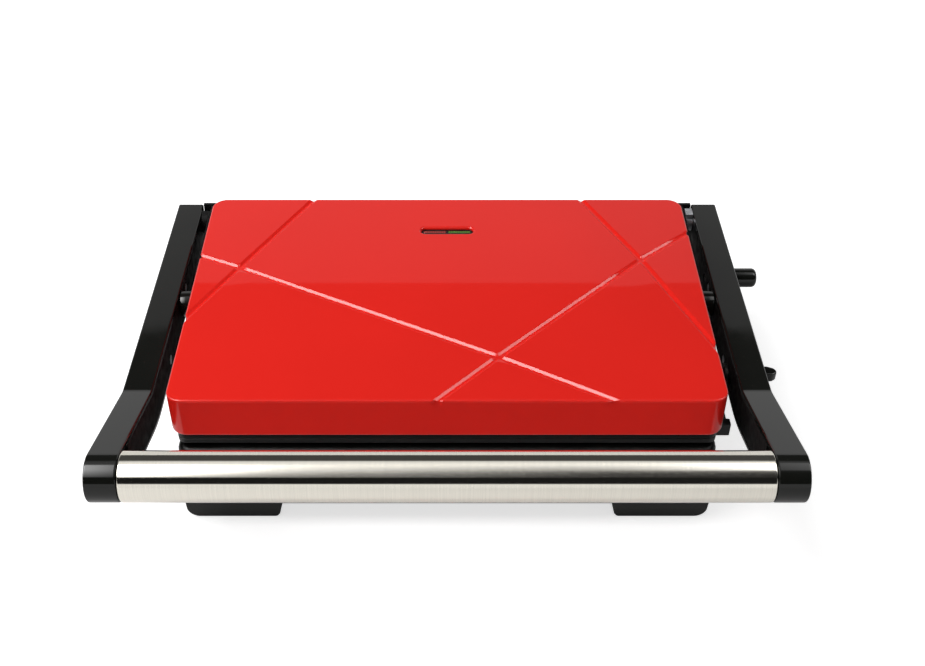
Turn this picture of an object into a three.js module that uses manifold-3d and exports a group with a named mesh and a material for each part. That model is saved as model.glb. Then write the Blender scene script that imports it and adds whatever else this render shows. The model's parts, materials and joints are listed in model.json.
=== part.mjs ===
// A two-plate contact grill: a red lid floats on two side arms that carry a steel bar handle and swing
// on hinges behind a black base. X runs to the user's right, Y to the rear and Z up, in millimetres.
import * as THREE from 'three';
import { mergeVertices } from 'three/addons/utils/BufferGeometryUtils.js';
import Module from 'manifold-3d';

const wasm = await Module();
wasm.setup();

// Clearances
const seatGap = 0.3;
const boreGap = 0.3;
const lidSideGap = 0.3;
const cutOverrun = 2;
const joinOverlap = 0.2;

// Cooking plates set the plan; a border of the housing runs round them
const plateWidth = 232;
const plateDepth = 144;
const plateBorderX = 9;
const plateBorderY = 8;
const bodyWidth = plateWidth + 2 * plateBorderX;
const bodyDepth = plateDepth + 2 * plateBorderY;

// Body corners and heights, from the table up
const bodyCorner = 6;
const bodyWall = 2.5;
const footHeight = 15;
const baseHeight = 37;
const baseTopFillet = 3;
const baseBottomFillet = 2.5;
const partingGap = 2.75;
const frameHeight = 6.3;
const frameInsetX = 1;
const frameInsetY = 2;
const frameLip = 6.6;
const coverProud = 1.2;
const coverCorner = 7.5;
const coverHeight = 22.15;
const coverTopFillet = 1;
const coverBottomFillet = 1.8;

const bodyHalfX = bodyWidth / 2;
const bodyHalfY = bodyDepth / 2;
const coverHalfX = bodyHalfX + coverProud;
const baseBottom = footHeight;
const baseTop = baseBottom + baseHeight;
const lidBottom = baseTop + partingGap;
const frameTop = lidBottom + frameHeight;
const coverBottom = frameTop + seatGap;
const lidTop = coverBottom + coverHeight;
const coverInnerTop = lidTop - bodyWall;

// Depths of the cooking plates, counted inwards from the face where base and lid part
const plateCorner = 5;
const plateSink = 0.5;
const plateRimHeight = 4;
const plateRimWidth = 5;
const plateFloorSink = 3.1;
const plateBack = 6.5;
const ribCount = 15;
const ribFootWidth = 3.6;
const ribTopWidth = 2.2;
const ribEndGap = 3;
const ledgeWidth = 8;
const ledgeThickness = 2.5;
const collarWall = 2.5;
const deckThickness = 2.5;

const plateHalfX = plateWidth / 2;
const plateHalfY = plateDepth / 2;
const ledgeFace = plateSink + plateRimHeight + seatGap;
const ledgeBack = ledgeFace + ledgeThickness;

// Heaters and their reflector trays
const heaterRadius = 3.25;
const heaterRunInset = 36;
const heaterTerminalInset = 24;
const heaterBendInset = 26;
const heaterSides = 8;
const heaterSteps = 36;
const reflectorThickness = 1;
const reflectorInset = 6;
const platePostRadius = 4;
const platePostX = 40;
const stakeNeckRadius = 2;
const stakeHeadRadius = 3.4;
const stakeHeadHeight = 1.2;

const heaterRunY = plateHalfY - heaterRunInset;
const heaterTerminalX = -(plateHalfX - heaterTerminalInset);
const heaterBendX = plateHalfX - heaterBendInset - heaterRunY;
const heaterDepth = plateBack + seatGap + heaterRadius;
const reflectorFace = heaterDepth + heaterRadius + seatGap;
const reflectorBack = reflectorFace + reflectorThickness;

// Screws: head and shank
const screwHeadRadius = 2.6;
const screwHeadHeight = 1.5;
const screwShankRadius = 1.4;
const screwSides = 8;
const screwBite = 9;
const plateScrewBite = 2.6;
const plateBossRadius = 5;
const postRadius = 3.5;
const postInset = 16;

const postX = plateHalfX + boreGap - ledgeWidth / 2;
const postY = plateHalfY - postInset;

// Feet and their rubber pads
const footProud = 2.5;
const footWidth = 48.7;
const footLength = 30;
const footSetback = 6;
const footInnerTaper = 3;
const footOuterTaper = 0.6;
const footRadius = 6;
const padProud = 0.6;
const padThickness = 2.6;
const padWidth = 30;
const padLength = 22;
const padInset = 4;
const footScrewSink = 4;

// Bottom cover with its air slots
const bottomCoverThickness = 2.8;
const slotWidth = 3;
const slotLength = 44;
const slotPitch = 9;
const slotCount = 6;

// Cord gland and mains terminal block
const glandAside = 32.3;
const glandRise = 13;
const glandBore = 3.4;
const glandNeck = 5.7;
const glandFlange = 8;
const glandFlangeThickness = 2.2;
const glandNose = 6.5;
const glandNoseTip = 5.2;
const glandNoseLength = 7;
const terminalLength = 26;
const terminalWidth = 14;
const terminalHeight = 11;
const terminalSetback = 20;
const terminalCutWidth = 5;
const terminalCutDepth = 3;

const glandX = postX - glandAside;

// Arms
const armGap = 11.9;
const armThickness = 13.8;
const armWall = 2.5;
const armChamfer = 0.8;
const armTail = 19;
const armDrop = 6.25;
const armRearHeight = 19;
const armKinkHeight = 22;
const armKinkInset = 20.7;
const armBendInset = 21.5;
const armBendReach = 9;
const armCoverThickness = 2;
const armRoundSteps = 10;

const armInner = bodyHalfX + armGap;
const armOuter = armInner + armThickness;
const armRear = bodyHalfY + armTail;
const armBottom = lidBottom - armDrop;
const armCoverBack = armInner + armCoverThickness;

// Bar handle and the spigots of the arms that carry it
const barRadius = 11;
const barWall = 1.2;
const barReach = 41.5;
const barRise = 30.4;
const barSides = 32;
const spigotLength = 18;
const spigotBore = 6;
const socketBlock = 3;

const barY = -(bodyHalfY + barReach);
const barZ = armBottom + barRise;
const barEnd = armInner - seatGap;

// Rear hinge
const hingeInset = 8.5;
const hingeRise = 6.45;
const hingePinRadius = 3;
const hingePinHead = 4.6;
const hingePinHeadHeight = 1.7;
const hingeHubRadius = 6.2;
const hingeBossRadius = 6.4;
const bracketThickness = 7;
const bracketLipThickness = 1.8;
const bracketLipRise = 7;
const bracketLipDrop = 13;
const bracketTopRise = 6.4;
const bracketFrontInset = 33;
const bracketWingInset = 54;
const bracketWingRise = 2;
const bracketWingDrop = 11;
const bracketShoulder = 24;
const bracketFootLength = 22;
const bracketFootRise = 11;
const bracketScrewInset = 8;
const bracketScrewRise = 10;
const bracketPegSpacing = 13;
const bracketPegRadius = 2;
const bracketPegLength = 2.4;
const bracketReliefDrop = 2;
const bracketReliefReach = 1.5;
const stopPlateThickness = 4;
const stopPlateRadius = 4.9;
const stopPlateLength = 7;
const stopPlateWidth = 6;

const hingeY = armRear - hingeInset;
const hingeZ = lidBottom + hingeRise;
const bracketInner = bodyHalfX + seatGap;
const bracketOuter = bracketInner + bracketThickness;
const bracketReach = armInner - seatGap;
const bracketFrontY = bodyHalfY - bracketFrontInset;
const bracketWingY = bodyHalfY - bracketWingInset;

// Lid pivots at mid arm
const pivotAhead = 25.6;
const pivotRise = 6.55;
const pivotShaft = 3.5;
const pivotFlange = 6.65;
const pivotBoss = 7.6;
const pivotInnerReach = 5.8;
const blindEnd = 1.2;

const pivotZ = lidBottom + pivotRise;
const shaftEnd = armOuter - armWall - blindEnd;

// Arm cover screws: places along the arm and above its underside
const rearPostAhead = 10.6;
const rearPostRise = 11.5;
const midPostBack = 12;
const midPostRise = 6;
const armPostRadius = 3.2;

// Hinge release button and its spring
const buttonBack = 47.9;
const buttonRise = 10;
const buttonRadius = 5.05;
const buttonReach = 13.3;
const buttonRound = 2.4;
const buttonFlangeRadius = 6.4;
const buttonFlangeThickness = 2;
const buttonStemRadius = 2;
const springMidRadius = 4;
const springWire = 0.8;
const springCurls = 3;
const curlSteps = 8;
const wireSides = 5;

const buttonY = hingeY - buttonBack;
const buttonZ = armBottom + buttonRise;
const pivotY = buttonY - pivotAhead;
const rearPostY = buttonY - rearPostAhead;
const buttonFlangeOut = armOuter - armWall - seatGap;

// Lid lock: a thumb slide on the right arm, its hook and the catch on the base
const lockBack = 28;
const lockRise = 7.2;
const lockStem = 4.4;
const lockTravel = 9;
const lockThumbReach = 9.7;
const lockThumbLength = 6.5;
const lockThumbHeight = 5;
const lockHubRadius = 5.4;
const lockHubThickness = 1.5;
const lockHookThickness = 2.6;
const lockHookDrop = 19.7;
const lockNoseLength = 20;
const lockNoseHeight = 7;
const catchInset = 21;
const catchLength = 6;
const catchHeight = 7.6;
const catchReach = 9.2;
const catchTopInset = 3;
const catchLift = 0.8;
const catchPegWidth = 3;
const catchPegHeight = 4;
const catchPegLength = 2.2;

const lockZ = armBottom + lockRise;
const hookBottom = lockZ - lockHookDrop;
const catchBottom = hookBottom + lockNoseHeight + catchLift;
const catchY = -(bodyHalfY - catchInset);
const lockY = catchY + lockBack;
const midPostY = lockY + midPostBack;

// Signal window in the cover, its lenses and lamps
const windowSetback = 30;
const windowLength = 28.3;
const windowWidth = 7.8;
const windowRecess = 0.9;
const lensLength = 12.4;
const lensWidth = 4.6;
const lensThickness = 1.5;
const lensDivider = 0.5;
const lampHolderMargin = 3.5;
const lampHolderHeight = 7.2;
const lampRadius = 1.8;

const windowY = bodyHalfY - windowSetback;

// Decorative grooves in the cover
const grooveWidth = 2;
const grooveDepth = 0.6;
const groovePadRadius = 4;

// Thermostat and thermal fuse
const thermostatX = -40;
const thermostatRadius = 8;
const thermostatFlange = 10;
const thermostatFlangeHeight = 2;
const thermostatHeight = 7;
const fuseX = 40;
const fuseRadius = 2.6;
const fuseLength = 22;
const controlsY = -12;

// Facets
const cornerSteps = 4;
const filletSteps = 3;
const boreSides = 12;
const hubSides = 20;

// The finished part stands with the middle of its outline on the origin
const outlineCentreX = buttonReach / 2;
const outlineCentreY = (armRear + barY - barRadius) / 2;

const finishes = {
  redEnamel: { color: 0xc8161a, roughness: 0.16, metalness: 0 },
  blackGloss: { color: 0x101110, roughness: 0.3, metalness: 0 },
  blackSatin: { color: 0x161716, roughness: 0.5, metalness: 0 },
  blackRubber: { color: 0x141414, roughness: 0.85, metalness: 0 },
  brushedSteel: { color: 0xc9c5bd, roughness: 0.34, metalness: 1 },
  zincSteel: { color: 0xb9bcc0, roughness: 0.4, metalness: 1 },
  aluminium: { color: 0xc4c6c8, roughness: 0.45, metalness: 1 },
  nonStick: { color: 0x1c1c1d, roughness: 0.55, metalness: 0.2 },
  heaterSheath: { color: 0x5c5a56, roughness: 0.6, metalness: 1 },
  redLens: { color: 0xd8402e, roughness: 0.2, metalness: 0 },
  greenLens: { color: 0x3c8f3a, roughness: 0.2, metalness: 0 },
  lampGlass: { color: 0xe8e4da, roughness: 0.1, metalness: 0 },
  ceramic: { color: 0xd9d4c6, roughness: 0.7, metalness: 0 },
};

function facingOut(geometry) {
  const bare = geometry.index ? geometry : geometry.clone();
  bare.deleteAttribute('normal');
  bare.deleteAttribute('uv');
  const merged = mergeVertices(bare);
  const place = merged.attributes.position;
  const corner = [new THREE.Vector3(), new THREE.Vector3(), new THREE.Vector3()];
  const kept = [];
  let volume = 0;
  for (let at = 0; at < merged.index.count; at += 3) {
    const three = [0, 1, 2].map((step) => merged.index.getX(at + step));
    if (new Set(three).size === three.length) {
      three.forEach((vertex, step) => corner[step].fromBufferAttribute(place, vertex));
      volume += corner[0].dot(corner[1].clone().cross(corner[2]));
      kept.push(three);
    }
  }
  const ordered = volume < 0 ? kept.map(([a, b, c]) => [a, c, b]) : kept;
  return { vertices: new Float32Array(place.array), triangles: new Uint32Array(ordered.flat()) };
}

function solid(geometry) {
  const { vertices, triangles } = facingOut(geometry);
  return new wasm.Manifold(new wasm.Mesh({ numProp: 3, vertProperties: vertices, triVerts: triangles }));
}

function geometryOf(body) {
  const mesh = body.getMesh();
  const geometry = new THREE.BufferGeometry();
  geometry.setAttribute('position', new THREE.BufferAttribute(mesh.vertProperties, 3));
  geometry.setIndex(new THREE.BufferAttribute(mesh.triVerts, 1));
  geometry.computeVertexNormals();
  return geometry;
}

function joined(bodies) {
  return bodies.reduce((whole, body) => whole.add(body));
}

function block([x0, x1], [y0, y1], [z0, z1]) {
  const geometry = new THREE.BoxGeometry(Math.abs(x1 - x0), Math.abs(y1 - y0), Math.abs(z1 - z0));
  geometry.translate((x0 + x1) / 2, (y0 + y1) / 2, (z0 + z1) / 2);
  return solid(geometry);
}

const yAxis = new THREE.Vector3(0, 1, 0);
const zAxis = new THREE.Vector3(0, 0, 1);
const xAxis = new THREE.Vector3(1, 0, 0);
const towardsFront = new THREE.Vector3(0, -1, 0);

// Each basis sends a turned shape's height, or an extrusion's depth, along the named axis.
const turnedAlong = {
  x: new THREE.Matrix4().makeBasis(yAxis, xAxis, zAxis.clone().negate()),
  y: new THREE.Matrix4(),
  z: new THREE.Matrix4().makeBasis(xAxis, zAxis, towardsFront),
};

function turned(profile, axis, [x, y, z], sides = boreSides) {
  const points = profile.map(([radius, height]) => new THREE.Vector2(radius, height));
  const geometry = new THREE.LatheGeometry(points, sides);
  geometry.applyMatrix4(turnedAlong[axis]);
  geometry.translate(x, y, z);
  return solid(geometry);
}

function rod(axis, radius, [from, to], centre, sides = boreSides) {
  return turned([[0, from], [radius, from], [radius, to], [0, to]], axis, centre, sides);
}

function rodX(radius, span, y, z, sides = boreSides) {
  return rod('x', radius, span, [0, y, z], sides);
}

function rodZ(radius, span, x, y, sides = boreSides) {
  return rod('z', radius, span, [x, y, 0], sides);
}

function extruded(points, depth, chamfer = 0) {
  const shape = new THREE.Shape(points);
  const bevel = {
    bevelEnabled: chamfer > 0,
    bevelThickness: chamfer,
    bevelSize: chamfer,
    bevelOffset: -chamfer,
    bevelSegments: 1,
  };
  const geometry = new THREE.ExtrudeGeometry(shape, { depth: depth - 2 * chamfer, steps: 1, ...bevel });
  geometry.translate(0, 0, chamfer);
  return geometry;
}

// An outline drawn in Y and Z, given a thickness along X
function sideProfile(points, [x0, x1], chamfer = 0) {
  const geometry = extruded(points, Math.abs(x1 - x0), chamfer);
  geometry.applyMatrix4(new THREE.Matrix4().makeBasis(yAxis, zAxis, xAxis));
  geometry.translate(Math.min(x0, x1), 0, 0);
  return solid(geometry);
}

// An outline drawn in X and Z, given a length along Y
function frontProfile(points, [y0, y1]) {
  const geometry = extruded(points, Math.abs(y1 - y0));
  geometry.applyMatrix4(new THREE.Matrix4().makeBasis(xAxis, zAxis, towardsFront));
  geometry.translate(0, Math.max(y0, y1), 0);
  return solid(geometry);
}

// An outline drawn in X and Y, given a height along Z
function planProfile(points, [z0, z1]) {
  const geometry = extruded(points, Math.abs(z1 - z0));
  geometry.translate(0, 0, Math.min(z0, z1));
  return solid(geometry);
}

function point(a, b) {
  return new THREE.Vector2(a, b);
}

function arc(centre, radius, from, to, steps) {
  return Array.from({ length: steps + 1 }, (_, step) => {
    const angle = from + ((to - from) * step) / steps;
    return point(centre.x + radius * Math.cos(angle), centre.y + radius * Math.sin(angle));
  });
}

const quarterTurn = Math.PI / 2;
const halfTurn = Math.PI;

function roundedRing(halfX, halfY, corner) {
  const signs = [[1, 1], [-1, 1], [-1, -1], [1, -1]];
  return signs.flatMap(([sx, sy], quarter) => {
    const centre = point(sx * (halfX - corner), sy * (halfY - corner));
    return arc(centre, corner, quarter * quarterTurn, (quarter + 1) * quarterTurn, cornerSteps);
  });
}

// A stack of rounded rectangles, each level set in from the full outline
function stack(halfX, halfY, corner, levels) {
  const rings = levels.toSorted((low, high) => low.z - high.z).map(({ z, inset }) => {
    const ring = roundedRing(halfX - inset, halfY - inset, Math.max(corner - inset, corner / cornerSteps));
    return ring.map(({ x, y }) => [x, y, z]);
  });
  const count = rings[0].length;
  const top = (rings.length - 1) * count;
  const index = [];
  for (let side = 1; side < count - 1; side += 1) {
    index.push(0, side + 1, side);
    index.push(top, top + side, top + side + 1);
  }
  for (let level = 0; level < top; level += count) {
    for (let side = 0; side < count; side += 1) {
      const next = (side + 1) % count;
      index.push(level + side, level + next, level + count + next);
      index.push(level + side, level + count + next, level + count + side);
    }
  }
  const geometry = new THREE.BufferGeometry();
  geometry.setAttribute('position', new THREE.Float32BufferAttribute(rings.flat(2), 3));
  geometry.setIndex(index);
  return solid(geometry);
}

function roundedBlock(halfX, halfY, corner, [z0, z1]) {
  return stack(halfX, halfY, corner, [{ z: z0, inset: 0 }, { z: z1, inset: 0 }]);
}

// Levels that round an edge: up is +1 at a top edge and -1 at a bottom edge
function filletLevels(z, radius, up) {
  return Array.from({ length: filletSteps + 1 }, (_, step) => {
    const angle = (step / filletSteps) * quarterTurn;
    return { z: z - up * radius * (1 - Math.sin(angle)), inset: radius * (1 - Math.cos(angle)) };
  });
}

const bothSigns = [-1, 1];

function fourCorners(x, y) {
  return bothSigns.flatMap((sx) => bothSigns.map((sy) => [sx * x, sy * y]));
}

// A screw whose head ends at headFace and whose shank runs the other way by bite
function screw(axis, headFace, towards, bite, centre) {
  const headBack = headFace + towards * screwHeadHeight;
  const tip = headBack + towards * bite;
  const profile = [
    [0, headFace],
    [screwHeadRadius, headFace],
    [screwHeadRadius, headBack],
    [screwShankRadius, headBack],
    [screwShankRadius, tip],
    [0, tip],
  ];
  return turned(profile, axis, centre, screwSides);
}

function screwHole(axis, [from, to], centre) {
  return rod(axis, screwShankRadius + boreGap, [from, to], centre, screwSides);
}

function headHole(axis, [from, to], centre) {
  return rod(axis, screwHeadRadius + boreGap, [from, to], centre, screwSides);
}

function tube(curve, radius, sides, steps) {
  const section = new THREE.Shape(arc(point(0, 0), radius, 0, 2 * halfTurn, sides).slice(0, sides));
  return solid(new THREE.ExtrudeGeometry(section, { steps, extrudePath: curve, bevelEnabled: false }));
}

// Cooking side of the base or the lid: depth runs inwards from the parting face
const lowerSide = { name: 'lower', face: baseTop, inwards: -1, outerX: bodyHalfX, outerY: bodyHalfY };
const upperSide = {
  name: 'upper',
  face: lidBottom,
  inwards: 1,
  outerX: bodyHalfX - frameInsetX,
  outerY: bodyHalfY - frameInsetY,
};

function zAt(side, depth) {
  return side.face + side.inwards * depth;
}

function zSpan(side, from, to) {
  return [zAt(side, from), zAt(side, to)];
}

// Collar and ledge that hold a plate, ready to join to a housing
function plateSeat(side) {
  const seatX = plateHalfX + boreGap;
  const seatY = plateHalfY + boreGap;
  const span = zSpan(side, joinOverlap + baseTopFillet / 2, ledgeBack);
  return roundedBlock(seatX + collarWall, seatY + collarWall, plateCorner + collarWall, span);
}

function plateOpening(side) {
  const seatX = plateHalfX + boreGap;
  const seatY = plateHalfY + boreGap;
  const throughSpan = zSpan(side, -cutOverrun, ledgeBack + cutOverrun);
  return joined([
    roundedBlock(seatX, seatY, plateCorner, zSpan(side, -cutOverrun, ledgeFace)),
    roundedBlock(seatX - ledgeWidth, seatY - ledgeWidth, plateCorner, throughSpan),
  ]);
}

// A post on the plate's back that passes through the reflector and is staked over behind it
function stakedPost(side, sx) {
  const profile = [
    [0, zAt(side, plateBack - joinOverlap)],
    [platePostRadius, zAt(side, plateBack - joinOverlap)],
    [platePostRadius, zAt(side, reflectorFace - seatGap)],
    [stakeNeckRadius, zAt(side, reflectorFace - seatGap)],
    [stakeNeckRadius, zAt(side, reflectorBack + seatGap)],
    [stakeHeadRadius, zAt(side, reflectorBack + seatGap)],
    [stakeHeadRadius, zAt(side, reflectorBack + seatGap + stakeHeadHeight)],
    [0, zAt(side, reflectorBack + seatGap + stakeHeadHeight)],
  ];
  return turned(profile, 'z', [sx * platePostX, 0, 0]);
}

function cookingPlate(side, screwCuts) {
  const innerX = plateHalfX + boreGap - ledgeWidth - boreGap;
  const innerY = plateHalfY + boreGap - ledgeWidth - boreGap;
  const rimSpan = zSpan(side, plateSink, plateSink + plateRimHeight);
  const backSpan = zSpan(side, plateSink + plateRimHeight - joinOverlap, plateBack);
  const recessX = plateHalfX - plateRimWidth;
  const recessY = plateHalfY - plateRimWidth;
  const recess = roundedBlock(recessX, recessY, plateCorner, zSpan(side, -cutOverrun, plateFloorSink));
  const bosses = fourCorners(postX, postY).map(([x, y]) => rodZ(plateBossRadius, rimSpan, x, y));
  const plate = joined([
    roundedBlock(plateHalfX, plateHalfY, plateCorner, rimSpan),
    roundedBlock(innerX, innerY, plateCorner, backSpan),
  ]).subtract(recess.subtract(joined(bosses)));
  const posts = bothSigns.map((sx) => stakedPost(side, sx));
  return joined([plate, ...posts, ...ribs(side, recessX, recessY)]).subtract(joined(screwCuts));
}

function lowerPlate() {
  const depths = [plateSink + plateRimHeight - plateScrewBite - boreGap, ledgeFace];
  return cookingPlate(lowerSide, fourCorners(postX, postY).map(([x, y]) => {
    return screwHole('z', zSpan(lowerSide, ...depths), [x, y, 0]);
  }));
}

const lidScrewFace = plateSink + seatGap;

function upperPlate() {
  return cookingPlate(upperSide, fourCorners(postX, postY).flatMap(([x, y]) => [
    screwHole('z', zSpan(upperSide, 0, ledgeFace), [x, y, 0]),
    headHole('z', zSpan(upperSide, 0, lidScrewFace + screwHeadHeight + seatGap), [x, y, 0]),
  ]));
}

function ribs(side, recessX, recessY) {
  const pitch = (2 * recessX) / (ribCount + 1);
  const root = zAt(side, plateFloorSink + joinOverlap);
  const crest = zAt(side, plateSink);
  const reachY = recessY - ribEndGap;
  return Array.from({ length: ribCount }, (_, rib) => {
    const x = (rib - (ribCount - 1) / 2) * pitch;
    const outline = [
      point(x - ribFootWidth / 2, root),
      point(x + ribFootWidth / 2, root),
      point(x + ribTopWidth / 2, crest),
      point(x - ribTopWidth / 2, crest),
    ];
    return frontProfile(side.inwards < 0 ? outline : outline.reverse(), [-reachY, reachY]);
  });
}

class HeaterPath extends THREE.Curve {
  constructor(z) {
    super();
    this.z = z;
    this.run = heaterBendX - heaterTerminalX;
    this.bend = halfTurn * heaterRunY;
  }

  getPoint(share, target = new THREE.Vector3()) {
    const travelled = share * (2 * this.run + this.bend);
    if (travelled < this.run) {
      return target.set(heaterTerminalX + travelled, heaterRunY, this.z);
    }
    if (travelled < this.run + this.bend) {
      const angle = quarterTurn - (travelled - this.run) / heaterRunY;
      return target.set(heaterBendX + heaterRunY * Math.cos(angle), heaterRunY * Math.sin(angle), this.z);
    }
    return target.set(heaterBendX - (travelled - this.run - this.bend), -heaterRunY, this.z);
  }
}

function heater(side) {
  return tube(new HeaterPath(zAt(side, heaterDepth)), heaterRadius, heaterSides, heaterSteps);
}

function reflector(side) {
  const outX = plateHalfX - ledgeWidth - reflectorInset;
  const outY = plateHalfY - ledgeWidth - reflectorInset;
  const inX = outX - reflectorThickness;
  const inY = outY - reflectorThickness;
  const tray = roundedBlock(outX, outY, plateCorner, zSpan(side, plateBack + seatGap, reflectorBack));
  const inside = roundedBlock(inX, inY, plateCorner, zSpan(side, plateBack - cutOverrun, reflectorFace));
  const neckSpan = zSpan(side, reflectorFace - cutOverrun, reflectorBack + cutOverrun);
  const holes = bothSigns.map((sx) => rodZ(stakeNeckRadius + boreGap, neckSpan, sx * platePostX, 0));
  return tray.subtract(joined([inside, ...holes]));
}

// Base housing
const coverTop = baseBottom + bottomCoverThickness;
const glandZ = baseBottom + glandRise;

// The catch's peg, or with a gap the hole in the housing's wall that it is pressed into
function catchPeg([from, to], gap = 0) {
  const middle = catchBottom + catchHeight / 2;
  const halfY = catchPegWidth / 2 + gap;
  const halfZ = catchPegHeight / 2 + gap;
  return block([from, to], [catchY - halfY, catchY + halfY], [middle - halfZ, middle + halfZ]);
}

function lockCatch() {
  const face = bodyHalfX + seatGap;
  const outline = [
    point(catchY - catchLength / 2, catchBottom),
    point(catchY + catchLength / 2, catchBottom),
    point(catchY + catchLength / 2 - catchTopInset / 2, catchBottom + catchHeight),
    point(catchY - catchLength / 2, catchBottom + catchHeight),
  ];
  const peg = catchPeg([face - catchPegLength, face + joinOverlap]);
  return sideProfile(outline, [face, bodyHalfX + catchReach]).add(peg);
}

const bracketScrewY = bracketFrontY + bracketScrewInset;
const bracketPegY = bracketScrewY + bracketPegSpacing;
const bracketHoldZ = baseBottom + bracketFootRise + bracketScrewRise;

function baseHousing() {
  const outer = stack(bodyHalfX, bodyHalfY, bodyCorner, [
    ...filletLevels(baseBottom, baseBottomFillet, -1),
    ...filletLevels(baseTop, baseTopFillet, 1),
  ]);
  const inner = roundedBlock(bodyHalfX - bodyWall, bodyHalfY - bodyWall, bodyCorner - bodyWall, [
    baseBottom - cutOverrun,
    baseTop - deckThickness,
  ]);
  const posts = fourCorners(postX, postY).map(([x, y]) => {
    return rodZ(postRadius, [coverTop + seatGap, zAt(lowerSide, ledgeBack - joinOverlap)], x, y);
  });
  const postHoles = fourCorners(postX, postY).map(([x, y]) => {
    return screwHole('z', [coverTop - cutOverrun, zAt(lowerSide, ledgeFace - cutOverrun)], [x, y, 0]);
  });
  const bracketHoles = bothSigns.flatMap((sx) => {
    const span = [sx * (bodyHalfX - bodyWall - cutOverrun), sx * (bodyHalfX + cutOverrun)];
    return [
      screwHole('x', span, [0, bracketScrewY, bracketHoldZ]),
      rodX(bracketPegRadius + boreGap, span, bracketPegY, bracketHoldZ),
    ];
  });
  const rearWall = [bodyHalfY - bodyWall - cutOverrun, bodyHalfY + cutOverrun];
  const glandHole = rod('y', glandNeck + boreGap, rearWall, [glandX, 0, glandZ]);
  const catchHole = catchPeg([bodyHalfX - bodyWall - cutOverrun, bodyHalfX + cutOverrun], boreGap);
  return outer.subtract(inner)
    .add(plateSeat(lowerSide))
    .subtract(plateOpening(lowerSide))
    .add(joined(posts))
    .subtract(joined([...postHoles, ...bracketHoles, glandHole, catchHole]));
}

function bottomCover() {
  const halfX = bodyHalfX - bodyWall - boreGap;
  const halfY = bodyHalfY - bodyWall - boreGap;
  const plate = roundedBlock(halfX, halfY, bodyCorner - bodyWall, [baseBottom, coverTop]);
  const through = [baseBottom - cutOverrun, coverTop + cutOverrun];
  const slots = Array.from({ length: slotCount }, (_, slot) => {
    const y = (slot - (slotCount - 1) / 2) * slotPitch;
    return block([-slotLength / 2, slotLength / 2], [y - slotWidth / 2, y + slotWidth / 2], through);
  });
  const holes = fourCorners(postX, postY).map(([x, y]) => screwHole('z', through, [x, y, 0]));
  return plate.subtract(joined([...slots, ...holes]));
}

// Feet
const footTop = footHeight - seatGap;
const footCentreY = bodyHalfY - footSetback - footLength / 2;
const padTop = padThickness;

function footOutline(sx) {
  const outX = bodyHalfX + footProud;
  const inX = outX - footWidth;
  const corner = point(outX - footOuterTaper - footRadius, padProud + footRadius);
  const points = [
    point(inX, footTop),
    point(inX + footInnerTaper, padProud),
    ...arc(corner, footRadius, -quarterTurn, 0, cornerSteps),
    point(outX, footTop),
  ];
  return sx > 0 ? points : points.map(({ x, y }) => point(-x, y)).reverse();
}

function padSpanX(sx) {
  const outer = bodyHalfX - padInset;
  return [sx * (outer - padWidth), sx * outer];
}

function grown([from, to], gap) {
  return [Math.min(from, to) - gap, Math.max(from, to) + gap];
}

function foot(sx, sy) {
  const y = sy * footCentreY;
  const body = frontProfile(footOutline(sx), [y - footLength / 2, y + footLength / 2]);
  const padY = [y - padLength / 2, y + padLength / 2];
  const pocket = block(grown(padSpanX(sx), boreGap), grown(padY, boreGap), [
    padProud - cutOverrun,
    padTop + seatGap,
  ]);
  const centre = [sx * postX, sy * postY, 0];
  const headSeat = padTop + footScrewSink;
  return body.subtract(joined([
    pocket,
    headHole('z', [padTop, headSeat], centre),
    screwHole('z', [headSeat - joinOverlap, footTop + cutOverrun], centre),
  ]));
}

function footPad(sx, sy) {
  const y = sy * footCentreY;
  return block(padSpanX(sx), [y - padLength / 2, y + padLength / 2], [0, padTop]);
}

function footScrew(sx, sy) {
  const headFace = padTop + footScrewSink - seatGap - screwHeadHeight;
  const tip = zAt(lowerSide, plateSink + plateRimHeight - plateScrewBite);
  return screw('z', headFace, 1, tip - headFace - screwHeadHeight, [sx * postX, sy * postY, 0]);
}

// Cord gland: a grommet in the rear wall
function cordGland() {
  const inFace = bodyHalfY - bodyWall - seatGap;
  const outFace = bodyHalfY + seatGap;
  const nose = outFace + glandFlangeThickness;
  const profile = [
    [glandBore, inFace - glandFlangeThickness],
    [glandFlange, inFace - glandFlangeThickness],
    [glandFlange, inFace],
    [glandNeck, inFace],
    [glandNeck, outFace],
    [glandFlange, outFace],
    [glandFlange, nose],
    [glandNose, nose],
    [glandNoseTip, nose + glandNoseLength],
    [glandBore, nose + glandNoseLength],
    [glandBore, inFace - glandFlangeThickness],
  ];
  return turned(profile, 'y', [glandX, 0, glandZ]);
}

function terminalBlock() {
  const y = bodyHalfY - bodyWall - terminalSetback;
  const bottom = coverTop + seatGap;
  const body = block([glandX - terminalLength / 2, glandX + terminalLength / 2], [
    y - terminalWidth / 2,
    y + terminalWidth / 2,
  ], [bottom, bottom + terminalHeight]);
  const cuts = bothSigns.map((sx) => {
    const x = glandX + sx * terminalCutWidth;
    const spanX = [x - terminalCutWidth / 4, x + terminalCutWidth / 4];
    return block(spanX, [y - terminalWidth, y + terminalWidth], [
      bottom + terminalHeight - terminalCutDepth,
      bottom + terminalHeight + cutOverrun,
    ]);
  });
  return body.subtract(joined(cuts));
}

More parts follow.
